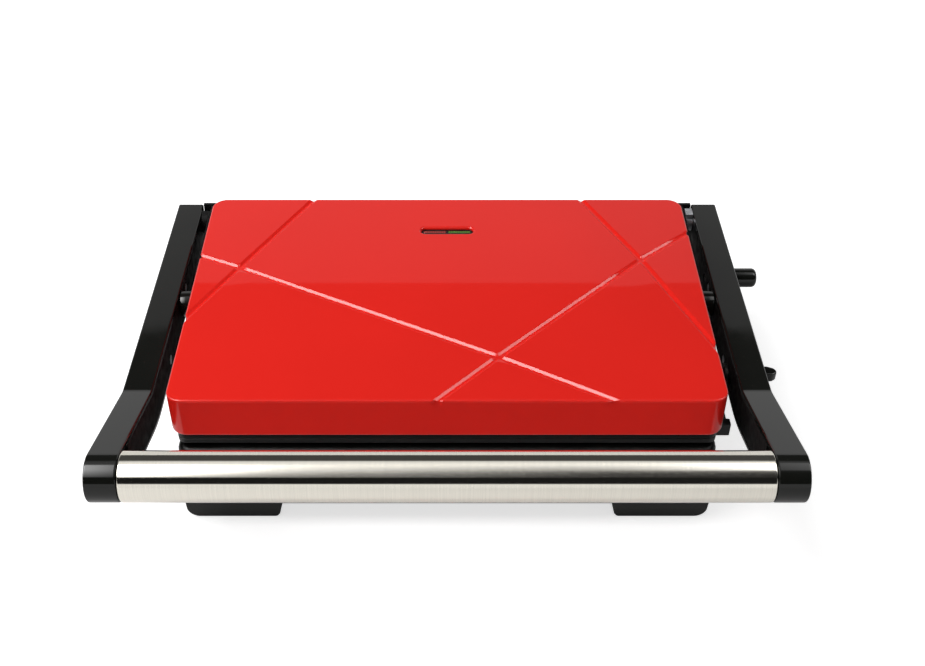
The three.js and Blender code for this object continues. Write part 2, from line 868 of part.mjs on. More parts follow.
// Hinge brackets on the base's sides
function bracketOutline() {
  const top = hingeZ + bracketTopRise;
  const footZ = baseBottom + bracketFootRise;
  return [
    point(bracketFrontY, footZ),
    point(bracketFrontY + bracketFootLength, footZ),
    point(armRear, hingeZ - bracketLipDrop),
    point(armRear, hingeZ + bracketLipRise),
    point(armRear - bracketLipThickness, hingeZ + bracketLipRise),
    point(armRear - bracketLipThickness, top),
    point(bracketWingY + bracketShoulder, top),
    point(bracketWingY, hingeZ + bracketWingRise),
    point(bracketWingY, hingeZ - bracketWingDrop),
  ];
}

function hingeBracket(sx) {
  const plate = sideProfile(bracketOutline(), [sx * bracketInner, sx * bracketOuter]);
  const lip = block([sx * bracketInner, sx * bracketReach], [armRear - bracketLipThickness, armRear], [
    hingeZ - bracketLipDrop,
    hingeZ + bracketLipRise,
  ]);
  const collarSpan = [sx * (bracketOuter - joinOverlap), sx * bracketReach];
  const collar = rodX(hingeHubRadius, collarSpan, hingeY, hingeZ, hubSides);
  const pinSpan = [sx * (bracketInner - cutOverrun), sx * armOuter];
  const pinHole = rodX(hingePinRadius + boreGap, pinSpan, hingeY, hingeZ);
  const headPocket = rodX(hingePinHead + boreGap, [
    sx * (bracketInner - cutOverrun),
    sx * (bracketInner + hingePinHeadHeight + 2 * seatGap),
  ], hingeY, hingeZ);
  const peg = rodX(bracketPegRadius, [
    sx * (bracketInner + joinOverlap),
    sx * (bracketInner - bracketPegLength),
  ], bracketPegY, bracketHoldZ);
  const holdCuts = [
    screwHole('x', [sx * (bracketInner - cutOverrun), sx * armInner], [0, bracketScrewY, bracketHoldZ]),
    headHole('x', [sx * (bracketOuter - screwHeadHeight - 2 * seatGap), sx * armInner], [
      0,
      bracketScrewY,
      bracketHoldZ,
    ]),
  ];
  const coverRelief = block([sx * (bracketInner - cutOverrun), sx * (coverHalfX + lidSideGap)], [
    bracketWingY - cutOverrun,
    bodyHalfY + bracketReliefReach,
  ], [coverBottom - bracketReliefDrop, hingeZ + bracketTopRise + cutOverrun]);
  const body = sx > 0 ? joined([plate, lip, peg]) : joined([plate, lip, peg, collar]);
  return body.subtract(joined([pinHole, headPocket, coverRelief, ...holdCuts]));
}

function stopPlate() {
  const span = [bracketOuter + seatGap, bracketOuter + seatGap + stopPlateThickness];
  const lug = block(span, [hingeY - stopPlateWidth / 2, hingeY + stopPlateWidth / 2], [
    hingeZ,
    hingeZ + stopPlateLength,
  ]);
  const disc = rodX(stopPlateRadius, span, hingeY, hingeZ, hubSides);
  const hole = rodX(hingePinRadius + boreGap, [bracketOuter, armInner], hingeY, hingeZ);
  return disc.add(lug).subtract(hole);
}

function bracketScrew(sx) {
  const headFace = sx * (bracketOuter - seatGap);
  return screw('x', headFace, -sx, bracketThickness + bodyWall, [0, bracketScrewY, bracketHoldZ]);
}

function hingePin(sx) {
  const headFace = bracketInner + seatGap;
  const profile = [
    [0, sx * headFace],
    [hingePinHead, sx * headFace],
    [hingePinHead, sx * (headFace + hingePinHeadHeight)],
    [hingePinRadius, sx * (headFace + hingePinHeadHeight)],
    [hingePinRadius, sx * shaftEnd],
    [0, sx * shaftEnd],
  ];
  return turned(profile, 'x', [0, hingeY, hingeZ]);
}

// Arms: a side outline with a kink on top, a bend below and a round end that matches the bar
function tangentFrom(start, centre, radius, side) {
  const away = centre.clone().sub(start);
  const angle = away.angle() - side * Math.asin(radius / away.length());
  const reach = Math.sqrt(away.lengthSq() - radius * radius);
  return { angle, touch: point(start.x + reach * Math.cos(angle), start.y + reach * Math.sin(angle)) };
}

function armOutline() {
  const kink = point(-(bodyHalfY - armKinkInset), armBottom + armKinkHeight);
  const bend = point(-(bodyHalfY - armBendInset), armBottom);
  const end = point(barY, barZ);
  const above = tangentFrom(kink, end, barRadius, 1);
  const below = tangentFrom(bend, end, barRadius, -1);
  const round = arc(end, barRadius, above.angle - quarterTurn, below.angle + quarterTurn, armRoundSteps);
  const towardsEnd = below.touch.clone().sub(bend).setLength(armBendReach);
  const curve = new THREE.QuadraticBezierCurve(
    bend.clone().add(towardsEnd),
    bend,
    point(bend.x + armBendReach, bend.y),
  );
  return [
    point(armRear, armBottom),
    point(armRear, armBottom + armRearHeight),
    kink,
    ...round,
    ...curve.getPoints(filletSteps),
  ];
}

// The outline moved inwards; it runs counter-clockwise, so inwards is to the left
function insetOutline(points, distance) {
  return points.map((here, place) => {
    const before = points[(place + points.length - 1) % points.length];
    const after = points[(place + 1) % points.length];
    const arriving = here.clone().sub(before).normalize();
    const leaving = after.clone().sub(here).normalize();
    const inwards = point(-arriving.y - leaving.y, arriving.x + leaving.x).normalize();
    const lean = inwards.dot(point(-arriving.y, arriving.x));
    return here.clone().addScaledVector(inwards, distance / lean);
  });
}

const cavityFront = barY + barRadius + socketBlock;

function frontOf(y, [x0, x1]) {
  const low = armBottom - armKinkHeight;
  return block([x0, x1], [barY - 2 * barRadius, y], [low, barZ + armKinkHeight]);
}

const armPostPlaces = {
  rear: [rearPostY, armBottom + rearPostRise],
  middle: [midPostY, armBottom + midPostRise],
};
const armPosts = Object.values(armPostPlaces);

function lockSlot(sx) {
  const half = lockStem / 2 + boreGap;
  const span = [sx * (armInner - cutOverrun), sx * (armOuter + cutOverrun)];
  return block(span, [lockY - half - lockTravel, lockY + half], [lockZ - half, lockZ + half]);
}

function shaftBores(sx) {
  const open = sx * (armInner - cutOverrun);
  const end = sx * (shaftEnd + seatGap);
  return [
    rodX(hingePinRadius + boreGap, [open, end], hingeY, hingeZ),
    rodX(pivotShaft + boreGap, [open, end], pivotY, pivotZ),
  ];
}

function arm(sx) {
  const outline = armOutline();
  const whole = sideProfile(outline, [sx * armInner, sx * armOuter], armChamfer);
  const hollowSpan = [sx * (armInner - cutOverrun), sx * (armOuter - armWall)];
  const hollow = sideProfile(insetOutline(outline, armWall), hollowSpan)
    .subtract(frontOf(cavityFront, hollowSpan));
  const postSpan = [sx * (armCoverBack + seatGap), sx * (armOuter - armWall / 2)];
  const posts = [
    rodX(hingeBossRadius, postSpan, hingeY, hingeZ),
    rodX(pivotBoss, postSpan, pivotY, pivotZ, hubSides),
    ...armPosts.map(([y, z]) => rodX(armPostRadius, postSpan, y, z)),
  ];
  const spigot = rodX(barRadius - barWall - boreGap, [
    sx * (barEnd - spigotLength),
    sx * (armInner + joinOverlap),
  ], barY, barZ, hubSides);
  const spigotHollow = rodX(spigotBore, [
    sx * (barEnd - spigotLength - cutOverrun),
    sx * (armOuter - 2 * armWall),
  ], barY, barZ);
  const postHoles = armPosts.map(([y, z]) => {
    return screwHole('x', [sx * armInner, sx * (armInner + screwHeadHeight + screwBite)], [0, y, z]);
  });
  const cuts = [spigotHollow, ...shaftBores(sx), ...postHoles];
  if (sx > 0) {
    const buttonSpan = [armCoverBack, armOuter + cutOverrun];
    cuts.push(lockSlot(sx), rodX(buttonRadius + boreGap, buttonSpan, buttonY, buttonZ, hubSides));
  }
  return whole.subtract(hollow).add(joined([...posts, spigot])).subtract(joined(cuts));
}

function armCover(sx) {
  const outline = insetOutline(armOutline(), armWall + boreGap);
  const span = [sx * armInner, sx * armCoverBack];
  const ends = grown(span, cutOverrun);
  const plate = sideProfile(outline, span).subtract(frontOf(cavityFront + boreGap, ends));
  const cuts = [
    ...shaftBores(sx),
    ...armPosts.flatMap(([y, z]) => [
      screwHole('x', ends, [0, y, z]),
      headHole('x', [sx * (armInner - cutOverrun), sx * (armInner + armCoverThickness / 2)], [0, y, z]),
    ]),
  ];
  if (sx > 0) {
    cuts.push(lockSlot(sx), rodX(buttonStemRadius + boreGap, ends, buttonY, buttonZ));
  }
  return plate.subtract(joined(cuts));
}

// The head lies in the arm cover's pocket, just below its face
function armCoverScrew(sx, [y, z]) {
  const face = armInner + seatGap / 2;
  const headBack = armInner + armCoverThickness / 2 - seatGap;
  const profile = [
    [0, sx * face],
    [screwHeadRadius, sx * face],
    [screwHeadRadius, sx * headBack],
    [screwShankRadius, sx * headBack],
    [screwShankRadius, sx * (face + screwBite)],
    [0, sx * (face + screwBite)],
  ];
  return turned(profile, 'x', [0, y, z], screwSides);
}

function handleTube() {
  const outer = rodX(barRadius, [-barEnd, barEnd], barY, barZ, barSides);
  const inner = rodX(barRadius - barWall, [-barEnd - cutOverrun, barEnd + cutOverrun], barY, barZ, barSides);
  return outer.subtract(inner);
}

function releaseButton() {
  const tip = armOuter + buttonReach;
  const noseCentre = point(buttonRadius - buttonRound, tip - buttonRound);
  const nose = arc(noseCentre, buttonRound, 0, quarterTurn, filletSteps);
  const profile = [
    [0, armInner + seatGap],
    [buttonStemRadius, armInner + seatGap],
    [buttonStemRadius, buttonFlangeOut - buttonFlangeThickness],
    [buttonFlangeRadius, buttonFlangeOut - buttonFlangeThickness],
    [buttonFlangeRadius, buttonFlangeOut],
    [buttonRadius, buttonFlangeOut],
    ...nose.map(({ x, y }) => [x, y]),
    [0, tip],
  ];
  return turned(profile, 'x', [0, buttonY, buttonZ], hubSides);
}

class SpringPath extends THREE.Curve {
  constructor(from, to) {
    super();
    this.from = from;
    this.to = to;
  }

  getPoint(share, target = new THREE.Vector3()) {
    const angle = share * springCurls * 2 * halfTurn;
    const x = this.from + (this.to - this.from) * share;
    const y = buttonY + springMidRadius * Math.cos(angle);
    const z = buttonZ + springMidRadius * Math.sin(angle);
    return target.set(x, y, z);
  }
}

function releaseSpring() {
  const from = armCoverBack + seatGap + springWire;
  const to = buttonFlangeOut - buttonFlangeThickness - seatGap - springWire;
  return tube(new SpringPath(from, to), springWire / 2, wireSides, springCurls * curlSteps);
}

// Lid lock
function lockSlide() {
  const half = lockStem / 2;
  const thumbInner = armOuter + seatGap;
  const thumbOuter = thumbInner + lockThumbReach;
  const stem = block([bracketReach, thumbInner + joinOverlap], [lockY - half, lockY + half], [
    lockZ - half,
    lockZ + half,
  ]);
  const outline = [
    point(thumbInner, lockY - lockThumbLength / 2),
    point(thumbOuter - lockThumbReach / 4, lockY - lockThumbLength / 2),
    point(thumbOuter, lockY - lockThumbLength / 4),
    point(thumbOuter - lockThumbReach / 6, lockY + lockThumbLength / 4),
    point(thumbOuter - lockThumbReach / 2, lockY + lockThumbLength / 2),
    point(thumbInner, lockY + lockThumbLength / 2),
  ];
  const thumb = planProfile(outline, [lockZ - lockThumbHeight / 2, lockZ + lockThumbHeight / 2]);
  const hole = screwHole('x', [bracketReach - cutOverrun, bracketReach + screwBite], [0, lockY, lockZ]);
  return stem.add(thumb).subtract(hole);
}

const hookFace = bracketReach - seatGap;

function lockHook() {
  const hubBack = hookFace - lockHubThickness;
  const bladeSpan = [hubBack - lockHookThickness, hubBack + joinOverlap];
  const hub = rodX(lockHubRadius, [hubBack, hookFace], lockY, lockZ, hubSides);
  const outline = [
    point(lockY - lockNoseLength, hookBottom),
    point(lockY + lockStem, hookBottom),
    point(lockY + lockStem, lockZ),
    point(lockY + lockStem / 2, lockZ + lockStem / 2),
    point(lockY - lockStem / 2, lockZ + lockStem / 2),
    point(lockY - lockStem, lockZ),
    point(lockY - lockStem, hookBottom + lockNoseHeight),
    point(lockY - lockNoseLength, hookBottom + lockNoseHeight),
  ];
  const holeSpan = [hubBack - lockHookThickness - cutOverrun, hookFace + cutOverrun];
  const hole = screwHole('x', holeSpan, [0, lockY, lockZ]);
  return hub.add(sideProfile(outline, bladeSpan)).subtract(hole);
}

function lockScrew() {
  const headFace = hookFace - lockHubThickness - lockHookThickness - seatGap - screwHeadHeight;
  return screw('x', headFace, 1, screwBite, [0, lockY, lockZ]);
}

// Lid frame: the black rim below the cover, with the upper plate's seat
function lidFrame() {
  const halfX = upperSide.outerX;
  const halfY = upperSide.outerY;
  const corner = bodyCorner - frameInsetY;
  const lipX = coverHalfX - bodyWall - boreGap;
  const lipY = bodyHalfY - bodyWall - boreGap;
  const wallX = halfX - bodyWall;
  const wallY = halfY - bodyWall;
  const rim = roundedBlock(halfX, halfY, corner, [lidBottom, frameTop]);
  const lipSpan = [frameTop - joinOverlap, frameTop + frameLip];
  const lip = roundedBlock(lipX, lipY, coverCorner - bodyWall, lipSpan);
  const inner = roundedBlock(wallX, wallY, corner / 2, [
    lidBottom + deckThickness,
    frameTop + frameLip + cutOverrun,
  ]);
  const pivots = bothSigns.map((sx) => {
    const from = bodyHalfX - pivotInnerReach - boreGap;
    return rodX(pivotShaft + boreGap, [sx * from, sx * (bodyHalfX + cutOverrun)], pivotY, pivotZ);
  });
  const lidScrewHoles = fourCorners(postX, postY).map(([x, y]) => {
    return screwHole('z', zSpan(upperSide, ledgeFace - cutOverrun, ledgeBack + cutOverrun), [x, y, 0]);
  });
  return rim.add(lip).subtract(inner)
    .add(plateSeat(upperSide))
    .subtract(plateOpening(upperSide))
    .subtract(joined([...pivots, ...lidScrewHoles]));
}

function lidScrew(sx, sy) {
  const bite = ledgeBack - lidScrewFace - screwHeadHeight + screwBite;
  return screw('z', zAt(upperSide, lidScrewFace), 1, bite, [sx * postX, sy * postY, 0]);
}

// Groove lines across the cover's top: ends and crossings as shares of its half width and half depth
const grooveShares = {
  leftRear: [-0.571, 1],
  leftCrossing: [-0.831, 0.23],
  leftFront: [-1, -0.279],
  leftEdge: [-1, 0.355],
  frontCrossing: [0.187, -0.626],
  frontRight: [0.594, -1],
  frontLeft: [-0.037, -1],
  rightRear: [0.573, 1],
  rightCrossing: [0.78, 0.316],
  rightEdge: [1, 0.611],
  rightFront: [1, -0.551],
};
const grooveRuns = [
  ['leftRear', 'leftCrossing'],
  ['leftCrossing', 'leftFront'],
  ['leftEdge', 'leftCrossing'],
  ['leftCrossing', 'frontCrossing'],
  ['frontCrossing', 'frontRight'],
  ['frontCrossing', 'frontLeft'],
  ['rightCrossing', 'frontCrossing'],
  ['rightRear', 'rightCrossing'],
  ['rightCrossing', 'rightEdge'],
  ['rightCrossing', 'rightFront'],
];
const crossings = ['leftCrossing', 'frontCrossing', 'rightCrossing'];

function groovePlace(name) {
  const [shareX, shareY] = grooveShares[name];
  return point(shareX * coverHalfX, shareY * bodyHalfY);
}

function grooveCuts() {
  const span = [lidTop - grooveDepth, lidTop + cutOverrun];
  const lines = grooveRuns.map(([fromName, toName]) => {
    const from = groovePlace(fromName);
    const along = groovePlace(toName).sub(from);
    const reach = along.clone().setLength(grooveWidth);
    const across = point(-reach.y, reach.x).multiplyScalar(1 / 2);
    const start = from.clone().sub(reach);
    const end = from.clone().add(along).add(reach);
    return planProfile([
      start.clone().sub(across),
      end.clone().sub(across),
      end.clone().add(across),
      start.clone().add(across),
    ], span);
  });
  const pads = crossings.map((name) => {
    const { x, y } = groovePlace(name);
    return rodZ(groovePadRadius, span, x, y);
  });
  return joined([...lines, ...pads]);
}

// A slot with round ends, long side along X
function stadium(halfLength, halfWidth) {
  const centre = point(halfLength - halfWidth, windowY);
  const opposite = point(-centre.x, windowY);
  const right = arc(centre, halfWidth, -quarterTurn, quarterTurn, cornerSteps);
  const left = arc(opposite, halfWidth, quarterTurn, 3 * quarterTurn, cornerSteps);
  return [...right, ...left];
}

const lensSlotHalf = lensDivider / 2 + lensLength + boreGap;

function lidCover() {
  const outer = stack(coverHalfX, bodyHalfY, coverCorner, [
    ...filletLevels(coverBottom, coverBottomFillet, -1),
    ...filletLevels(lidTop, coverTopFillet, 1),
  ]);
  const innerX = coverHalfX - bodyWall;
  const innerY = bodyHalfY - bodyWall;
  const innerSpan = [coverBottom - cutOverrun, coverInnerTop];
  const inner = roundedBlock(innerX, innerY, coverCorner - bodyWall, innerSpan);
  const postBottom = zAt(upperSide, ledgeBack + seatGap);
  const posts = fourCorners(postX, postY).map(([x, y]) => {
    return rodZ(postRadius, [postBottom, coverInnerTop + joinOverlap], x, y);
  });
  const postHoles = fourCorners(postX, postY).map(([x, y]) => {
    return screwHole('z', [postBottom - cutOverrun, postBottom + screwBite + seatGap], [x, y, 0]);
  });
  const pivots = bothSigns.map((sx) => {
    const wallSpan = [sx * (innerX - cutOverrun), sx * (coverHalfX + cutOverrun)];
    return rodX(pivotShaft + boreGap, wallSpan, pivotY, pivotZ);
  });
  const windowCuts = [
    planProfile(stadium(windowLength / 2, windowWidth / 2), [lidTop - windowRecess, lidTop + cutOverrun]),
    planProfile(stadium(lensSlotHalf, lensWidth / 2 + boreGap), [coverInnerTop - cutOverrun, lidTop]),
  ];
  return outer.subtract(inner).add(joined(posts))
    .subtract(joined([...postHoles, ...pivots, ...windowCuts, grooveCuts()]));
}

function lens(sx) {
  const near = lensDivider / 2;
  const far = near + lensLength;
  const half = lensWidth / 2;
  const end = arc(point(far - half, windowY), half, -quarterTurn, quarterTurn, cornerSteps);
  const points = [point(near, windowY - half), ...end, point(near, windowY + half)];
  const outline = sx > 0 ? points : points.map(({ x, y }) => point(-x, y)).reverse();
  return planProfile(outline, [coverInnerTop, coverInnerTop + lensThickness]);
}

const holderTop = coverInnerTop - seatGap;
const lampZ = holderTop - lampHolderHeight / 2;

function lampPocketSpan(sx) {
  return [sx * lensDivider, sx * (lensDivider + lensLength - lensWidth / 2)];
}

function lampHolder() {
  const halfX = lensSlotHalf + lampHolderMargin;
  const halfY = lensWidth / 2 + lampHolderMargin;
  const body = block([-halfX, halfX], [windowY - halfY, windowY + halfY], [
    holderTop - lampHolderHeight,
    holderTop,
  ]);
  const pockets = bothSigns.map((sx) => {
    return block(lampPocketSpan(sx), [windowY - lampRadius - boreGap, windowY + lampRadius + boreGap], [
      holderTop - lampHolderHeight - cutOverrun,
      holderTop + cutOverrun,
    ]);
  });
  return body.subtract(joined(pockets));
}

function lamp(sx) {
  const span = lampPocketSpan(sx).map((x, end) => x + sx * seatGap * (1 - 2 * end));
  return rodX(lampRadius, span, windowY, lampZ);
}

function thermostat() {
  const bottom = zAt(upperSide, reflectorBack + seatGap);
  const profile = [
    [0, bottom],
    [thermostatFlange, bottom],
    [thermostatFlange, bottom + thermostatFlangeHeight],
    [thermostatRadius, bottom + thermostatFlangeHeight],
    [thermostatRadius, bottom + thermostatHeight],
    [0, bottom + thermostatHeight],
  ];
  return turned(profile, 'z', [thermostatX, controlsY - thermostatFlange, 0], hubSides);
}

function thermalFuse() {
  const z = zAt(upperSide, reflectorBack + seatGap) + fuseRadius;
  return rodX(fuseRadius, [fuseX - fuseLength / 2, fuseX + fuseLength / 2], controlsY, z);
}

function pivotPin(sx) {
  const profile = [
    [0, sx * (bodyHalfX - pivotInnerReach)],
    [pivotShaft, sx * (bodyHalfX - pivotInnerReach)],
    [pivotShaft, sx * (coverHalfX + lidSideGap)],
    [pivotFlange, sx * (coverHalfX + lidSideGap)],
    [pivotFlange, sx * (armInner - seatGap)],
    [pivotShaft, sx * (armInner - seatGap)],
    [pivotShaft, sx * shaftEnd],
    [0, sx * shaftEnd],
  ];
  return turned(profile, 'x', [0, pivotY, pivotZ], hubSides);
}

// Assembly
const grill = new THREE.Group();
const base = new THREE.Group();
const arms = new THREE.Group();
const lid = new THREE.Group();
grill.add(base, arms, lid);
grill.position.set(-outlineCentreX, -outlineCentreY, 0);

function addPiece(group, name, finish, body) {
  const mesh = new THREE.Mesh(geometryOf(body), new THREE.MeshStandardMaterial(finishes[finish]));
  mesh.name = name;
  group.add(mesh);
}

const sideNames = [['left', -1], ['right', 1]];
const endNames = [['front', -1], ['rear', 1]];

function addCookingSide(group, side, plate) {
  addPiece(group, `${side.name}_plate`, 'nonStick', plate);
  addPiece(group, `${side.name}_heater`, 'heaterSheath', heater(side));
  addPiece(group, `${side.name}_reflector`, 'aluminium', reflector(side));
}

addPiece(base, 'base_housing', 'blackSatin', baseHousing());
addPiece(base, 'bottom_cover', 'blackSatin', bottomCover());
for (const [endName, sy] of endNames) {
  for (const [sideName, sx] of sideNames) {
    addPiece(base, `foot_${endName}_${sideName}`, 'blackGloss', foot(sx, sy));
    addPiece(base, `foot_pad_${endName}_${sideName}`, 'blackRubber', footPad(sx, sy));
    addPiece(base, `foot_screw_${endName}_${sideName}`, 'zincSteel', footScrew(sx, sy));
    addPiece(lid, `lid_screw_${endName}_${sideName}`, 'zincSteel', lidScrew(sx, sy));
  }
}
addCookingSide(base, lowerSide, lowerPlate());
addPiece(base, 'cord_gland', 'blackRubber', cordGland());
addPiece(base, 'terminal_block', 'ceramic', terminalBlock());
addPiece(base, 'hinge_stop_plate', 'zincSteel', stopPlate());
addPiece(base, 'lock_catch', 'blackSatin', lockCatch());

for (const [sideName, sx] of sideNames) {
  addPiece(base, `hinge_bracket_${sideName}`, 'blackSatin', hingeBracket(sx));
  addPiece(base, `hinge_pin_${sideName}`, 'zincSteel', hingePin(sx));
  addPiece(base, `bracket_screw_${sideName}`, 'zincSteel', bracketScrew(sx));
  addPiece(arms, `arm_${sideName}`, 'blackGloss', arm(sx));
  addPiece(arms, `arm_cover_${sideName}`, 'blackGloss', armCover(sx));
  for (const [placeName, place] of Object.entries(armPostPlaces)) {
    addPiece(arms, `arm_screw_${placeName}_${sideName}`, 'zincSteel', armCoverScrew(sx, place));
  }
  addPiece(lid, `pivot_pin_${sideName}`, 'blackSatin', pivotPin(sx));
}
addPiece(arms, 'handle_tube', 'brushedSteel', handleTube());
addPiece(arms, 'release_spring', 'zincSteel', releaseSpring());
addPiece(arms, 'release_button', 'blackSatin', releaseButton());
addPiece(arms, 'lock_slide', 'blackSatin', lockSlide());
addPiece(arms, 'lock_hook', 'zincSteel', lockHook());
addPiece(arms, 'lock_screw', 'zincSteel', lockScrew());

addPiece(lid, 'lid_cover', 'redEnamel', lidCover());
addPiece(lid, 'lid_frame', 'blackSatin', lidFrame());
addCookingSide(lid, upperSide, upperPlate());
addPiece(lid, 'power_lens', 'redLens', lens(-1));
addPiece(lid, 'ready_lens', 'greenLens', lens(1));
addPiece(lid, 'lamp_holder', 'blackSatin', lampHolder());
addPiece(lid, 'power_lamp', 'lampGlass', lamp(-1));
addPiece(lid, 'ready_lamp', 'lampGlass', lamp(1));
addPiece(lid, 'thermostat', 'ceramic', thermostat());
addPiece(lid, 'thermal_fuse', 'ceramic', thermalFuse());

export default grill;
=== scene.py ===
import json
import math

import bmesh
import bpy
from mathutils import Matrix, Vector


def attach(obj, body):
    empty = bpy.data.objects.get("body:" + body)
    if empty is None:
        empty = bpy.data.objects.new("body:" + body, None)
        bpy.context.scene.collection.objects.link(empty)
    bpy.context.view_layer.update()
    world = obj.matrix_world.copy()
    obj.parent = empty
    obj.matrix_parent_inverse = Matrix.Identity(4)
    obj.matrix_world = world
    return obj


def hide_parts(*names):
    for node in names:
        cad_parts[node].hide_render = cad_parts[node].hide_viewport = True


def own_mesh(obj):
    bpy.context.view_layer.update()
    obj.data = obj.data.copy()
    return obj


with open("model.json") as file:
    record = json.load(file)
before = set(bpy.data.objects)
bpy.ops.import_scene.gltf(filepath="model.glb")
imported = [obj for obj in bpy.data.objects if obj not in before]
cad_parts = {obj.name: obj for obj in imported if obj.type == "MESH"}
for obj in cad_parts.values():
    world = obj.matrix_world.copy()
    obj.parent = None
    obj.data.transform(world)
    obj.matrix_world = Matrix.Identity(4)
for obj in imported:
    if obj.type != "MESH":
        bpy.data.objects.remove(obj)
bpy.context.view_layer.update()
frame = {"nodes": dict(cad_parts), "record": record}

MM = 0.001
SHIFT = Vector((-6.65, 16.75, 0.0))

# Share of a noise texture's range in which nearly all of its values lie
NOISE_LOW, NOISE_HIGH = 0.3, 0.7

# ---------------------------------------------------------------- materials


class Nodes:
    """Builds the node tree of a material or world, emptied first."""

    def __init__(self, owner):
        owner.use_nodes = True
        self.tree = owner.node_tree
        self.tree.nodes.clear()

    def node(self, kind, **settings):
        made = self.tree.nodes.new(kind)
        for key, value in settings.items():
            setattr(made, key, value)
        return made

    def link(self, a, b):
        self.tree.links.new(a, b)

    def math(self, operation, *values):
        """Math node on numbers (floats) and sockets."""
        made = self.node("ShaderNodeMath", operation=operation)
        for socket, value in zip(made.inputs, values):
            if isinstance(value, float):
                socket.default_value = value
            else:
                self.link(value, socket)
        return made.outputs[0]

    def remap(self, value, low, high, to_low, to_high):
        made = self.node("ShaderNodeMapRange")
        for name, number in (("From Min", low), ("From Max", high), ("To Min", to_low), ("To Max", to_high)):
            made.inputs[name].default_value = number
        self.link(value, made.inputs["Value"])
        return made.outputs["Result"]

    def emission(self, level):
        """Plain light of one level, grey to white."""
        glow = self.node("ShaderNodeEmission")
        glow.inputs["Color"].default_value = (level, level, level, 1)
        return glow


class Shader(Nodes):
    """One procedural material: a Principled shader with object-space detail."""

    def __init__(self, name, color, roughness, metallic=0.0, **plain):
        self.material = bpy.data.materials.new(name)
        super().__init__(self.material)
        self.out = self.node("ShaderNodeOutputMaterial")
        self.bsdf = self.node("ShaderNodeBsdfPrincipled")
        self.link(self.bsdf.outputs[0], self.out.inputs["Surface"])
        self.color = (*color, 1.0)
        self.bsdf.inputs["Base Color"].default_value = self.color
        self.bsdf.inputs["Roughness"].default_value = roughness
        self.bsdf.inputs["Metallic"].default_value = metallic
        for socket, value in plain.items():
            self.bsdf.inputs[socket.replace("_", " ")].default_value = value
        self.place = self.node("ShaderNodeTexCoord").outputs["Object"]
        self.height = None

    def scaled(self, scale):
        mapping = self.node("ShaderNodeMapping")
        mapping.inputs["Scale"].default_value = scale
        self.link(self.place, mapping.inputs["Vector"])
        return mapping.outputs["Vector"]

    def noise(self, scale, detail, stretch=(1, 1, 1)):
        made = self.node("ShaderNodeTexNoise")
        made.inputs["Scale"].default_value = scale
        made.inputs["Detail"].default_value = detail
        self.link(self.scaled(stretch), made.inputs["Vector"])
        return made.outputs["Fac"]

    def tint(self, value, darker, lighter, low=NOISE_LOW, high=NOISE_HIGH):
        """Base colour moves between two multiples of itself as value goes from low to high."""
        ramp = self.node("ShaderNodeValToRGB")
        for stop, position, share in zip(ramp.color_ramp.elements, (low, high), (darker, lighter)):
            stop.position = position
            stop.color = (*(min(part * share, 1.0) for part in self.color[:3]), 1.0)
        self.link(value, ramp.inputs["Fac"])
        self.link(ramp.outputs["Color"], self.bsdf.inputs["Base Color"])

    def rough(self, value, low, high):
        """Roughness moves from low to high over the noise's range."""
        self.link(self.remap(value, NOISE_LOW, NOISE_HIGH, low, high), self.bsdf.inputs["Roughness"])

    def bump(self, value, distance, strength):
        """Adds a layer of relief on top of the layers already there."""
        made = self.node("ShaderNodeBump")
        made.inputs["Distance"].default_value = distance
        made.inputs["Strength"].default_value = strength
        self.link(value, made.inputs["Height"])
        if self.height is not None:
            self.link(self.height, made.inputs["Normal"])
        self.height = made.outputs["Normal"]
        self.link(self.height, self.bsdf.inputs["Normal"])


def noisy(name, color, roughness, tint, rough, bump=None, metallic=0.0, **plain):
    """A material with noise alone. tint and rough are (noise scale, detail, low, high) and bump is
    (noise scale, detail, height in metres, strength)."""
    s = Shader(name, color, roughness, metallic, **plain)
    s.tint(s.noise(*tint[:2]), *tint[2:])
    s.rough(s.noise(*rough[:2]), *rough[2:])
    if bump:
        s.bump(s.noise(*bump[:2]), *bump[2:])
    return s.material


def red_lacquer():
    s = Shader("red_lacquer", (0.82, 0.018, 0.0115), 0.5, Coat_Weight=0.7, Coat_Roughness=0.03,
               Coat_IOR=1.46, Specular_IOR_Level=0.05)
    s.tint(s.noise(9.0, 2.0), 0.965, 1.03)
    s.rough(s.noise(240.0, 4.0), 0.3, 0.4)
    s.bump(s.noise(11.0, 1.0), 0.00035, 0.3)
    s.bump(s.noise(150.0, 1.5), 0.000012, 0.3)
    return s.material


def brushed_steel():
    s = Shader("brushed_steel_bar", (0.82, 0.785, 0.7), 0.2, metallic=1.0, Anisotropic=0.8,
               Anisotropic_Rotation=0.25)
    tangent = s.node("ShaderNodeTangent", direction_type="RADIAL", axis="X")
    s.link(tangent.outputs[0], s.bsdf.inputs["Tangent"])
    rings = s.noise(1.0, 3.0, stretch=(5200.0, 45.0, 45.0))
    broad = s.noise(1.0, 2.0, stretch=(14.0, 30.0, 30.0))
    s.tint(rings, 0.93, 1.06, 0.25, 0.75)
    s.rough(broad, 0.1, 0.14)
    s.bump(rings, 0.000006, 0.5)
    return s.material


def tray_metal():
    s = Shader("pressed_aluminium", (0.62, 0.63, 0.64), 0.38, metallic=1.0)
    s.tint(s.noise(1.0, 4.0, stretch=(20.0, 900.0, 20.0)), 0.88, 1.08)
    s.rough(s.noise(90.0, 4.0), 0.3, 0.48)
    s.bump(s.noise(1.0, 3.0, stretch=(30.0, 1600.0, 30.0)), 0.00001, 0.4)
    return s.material


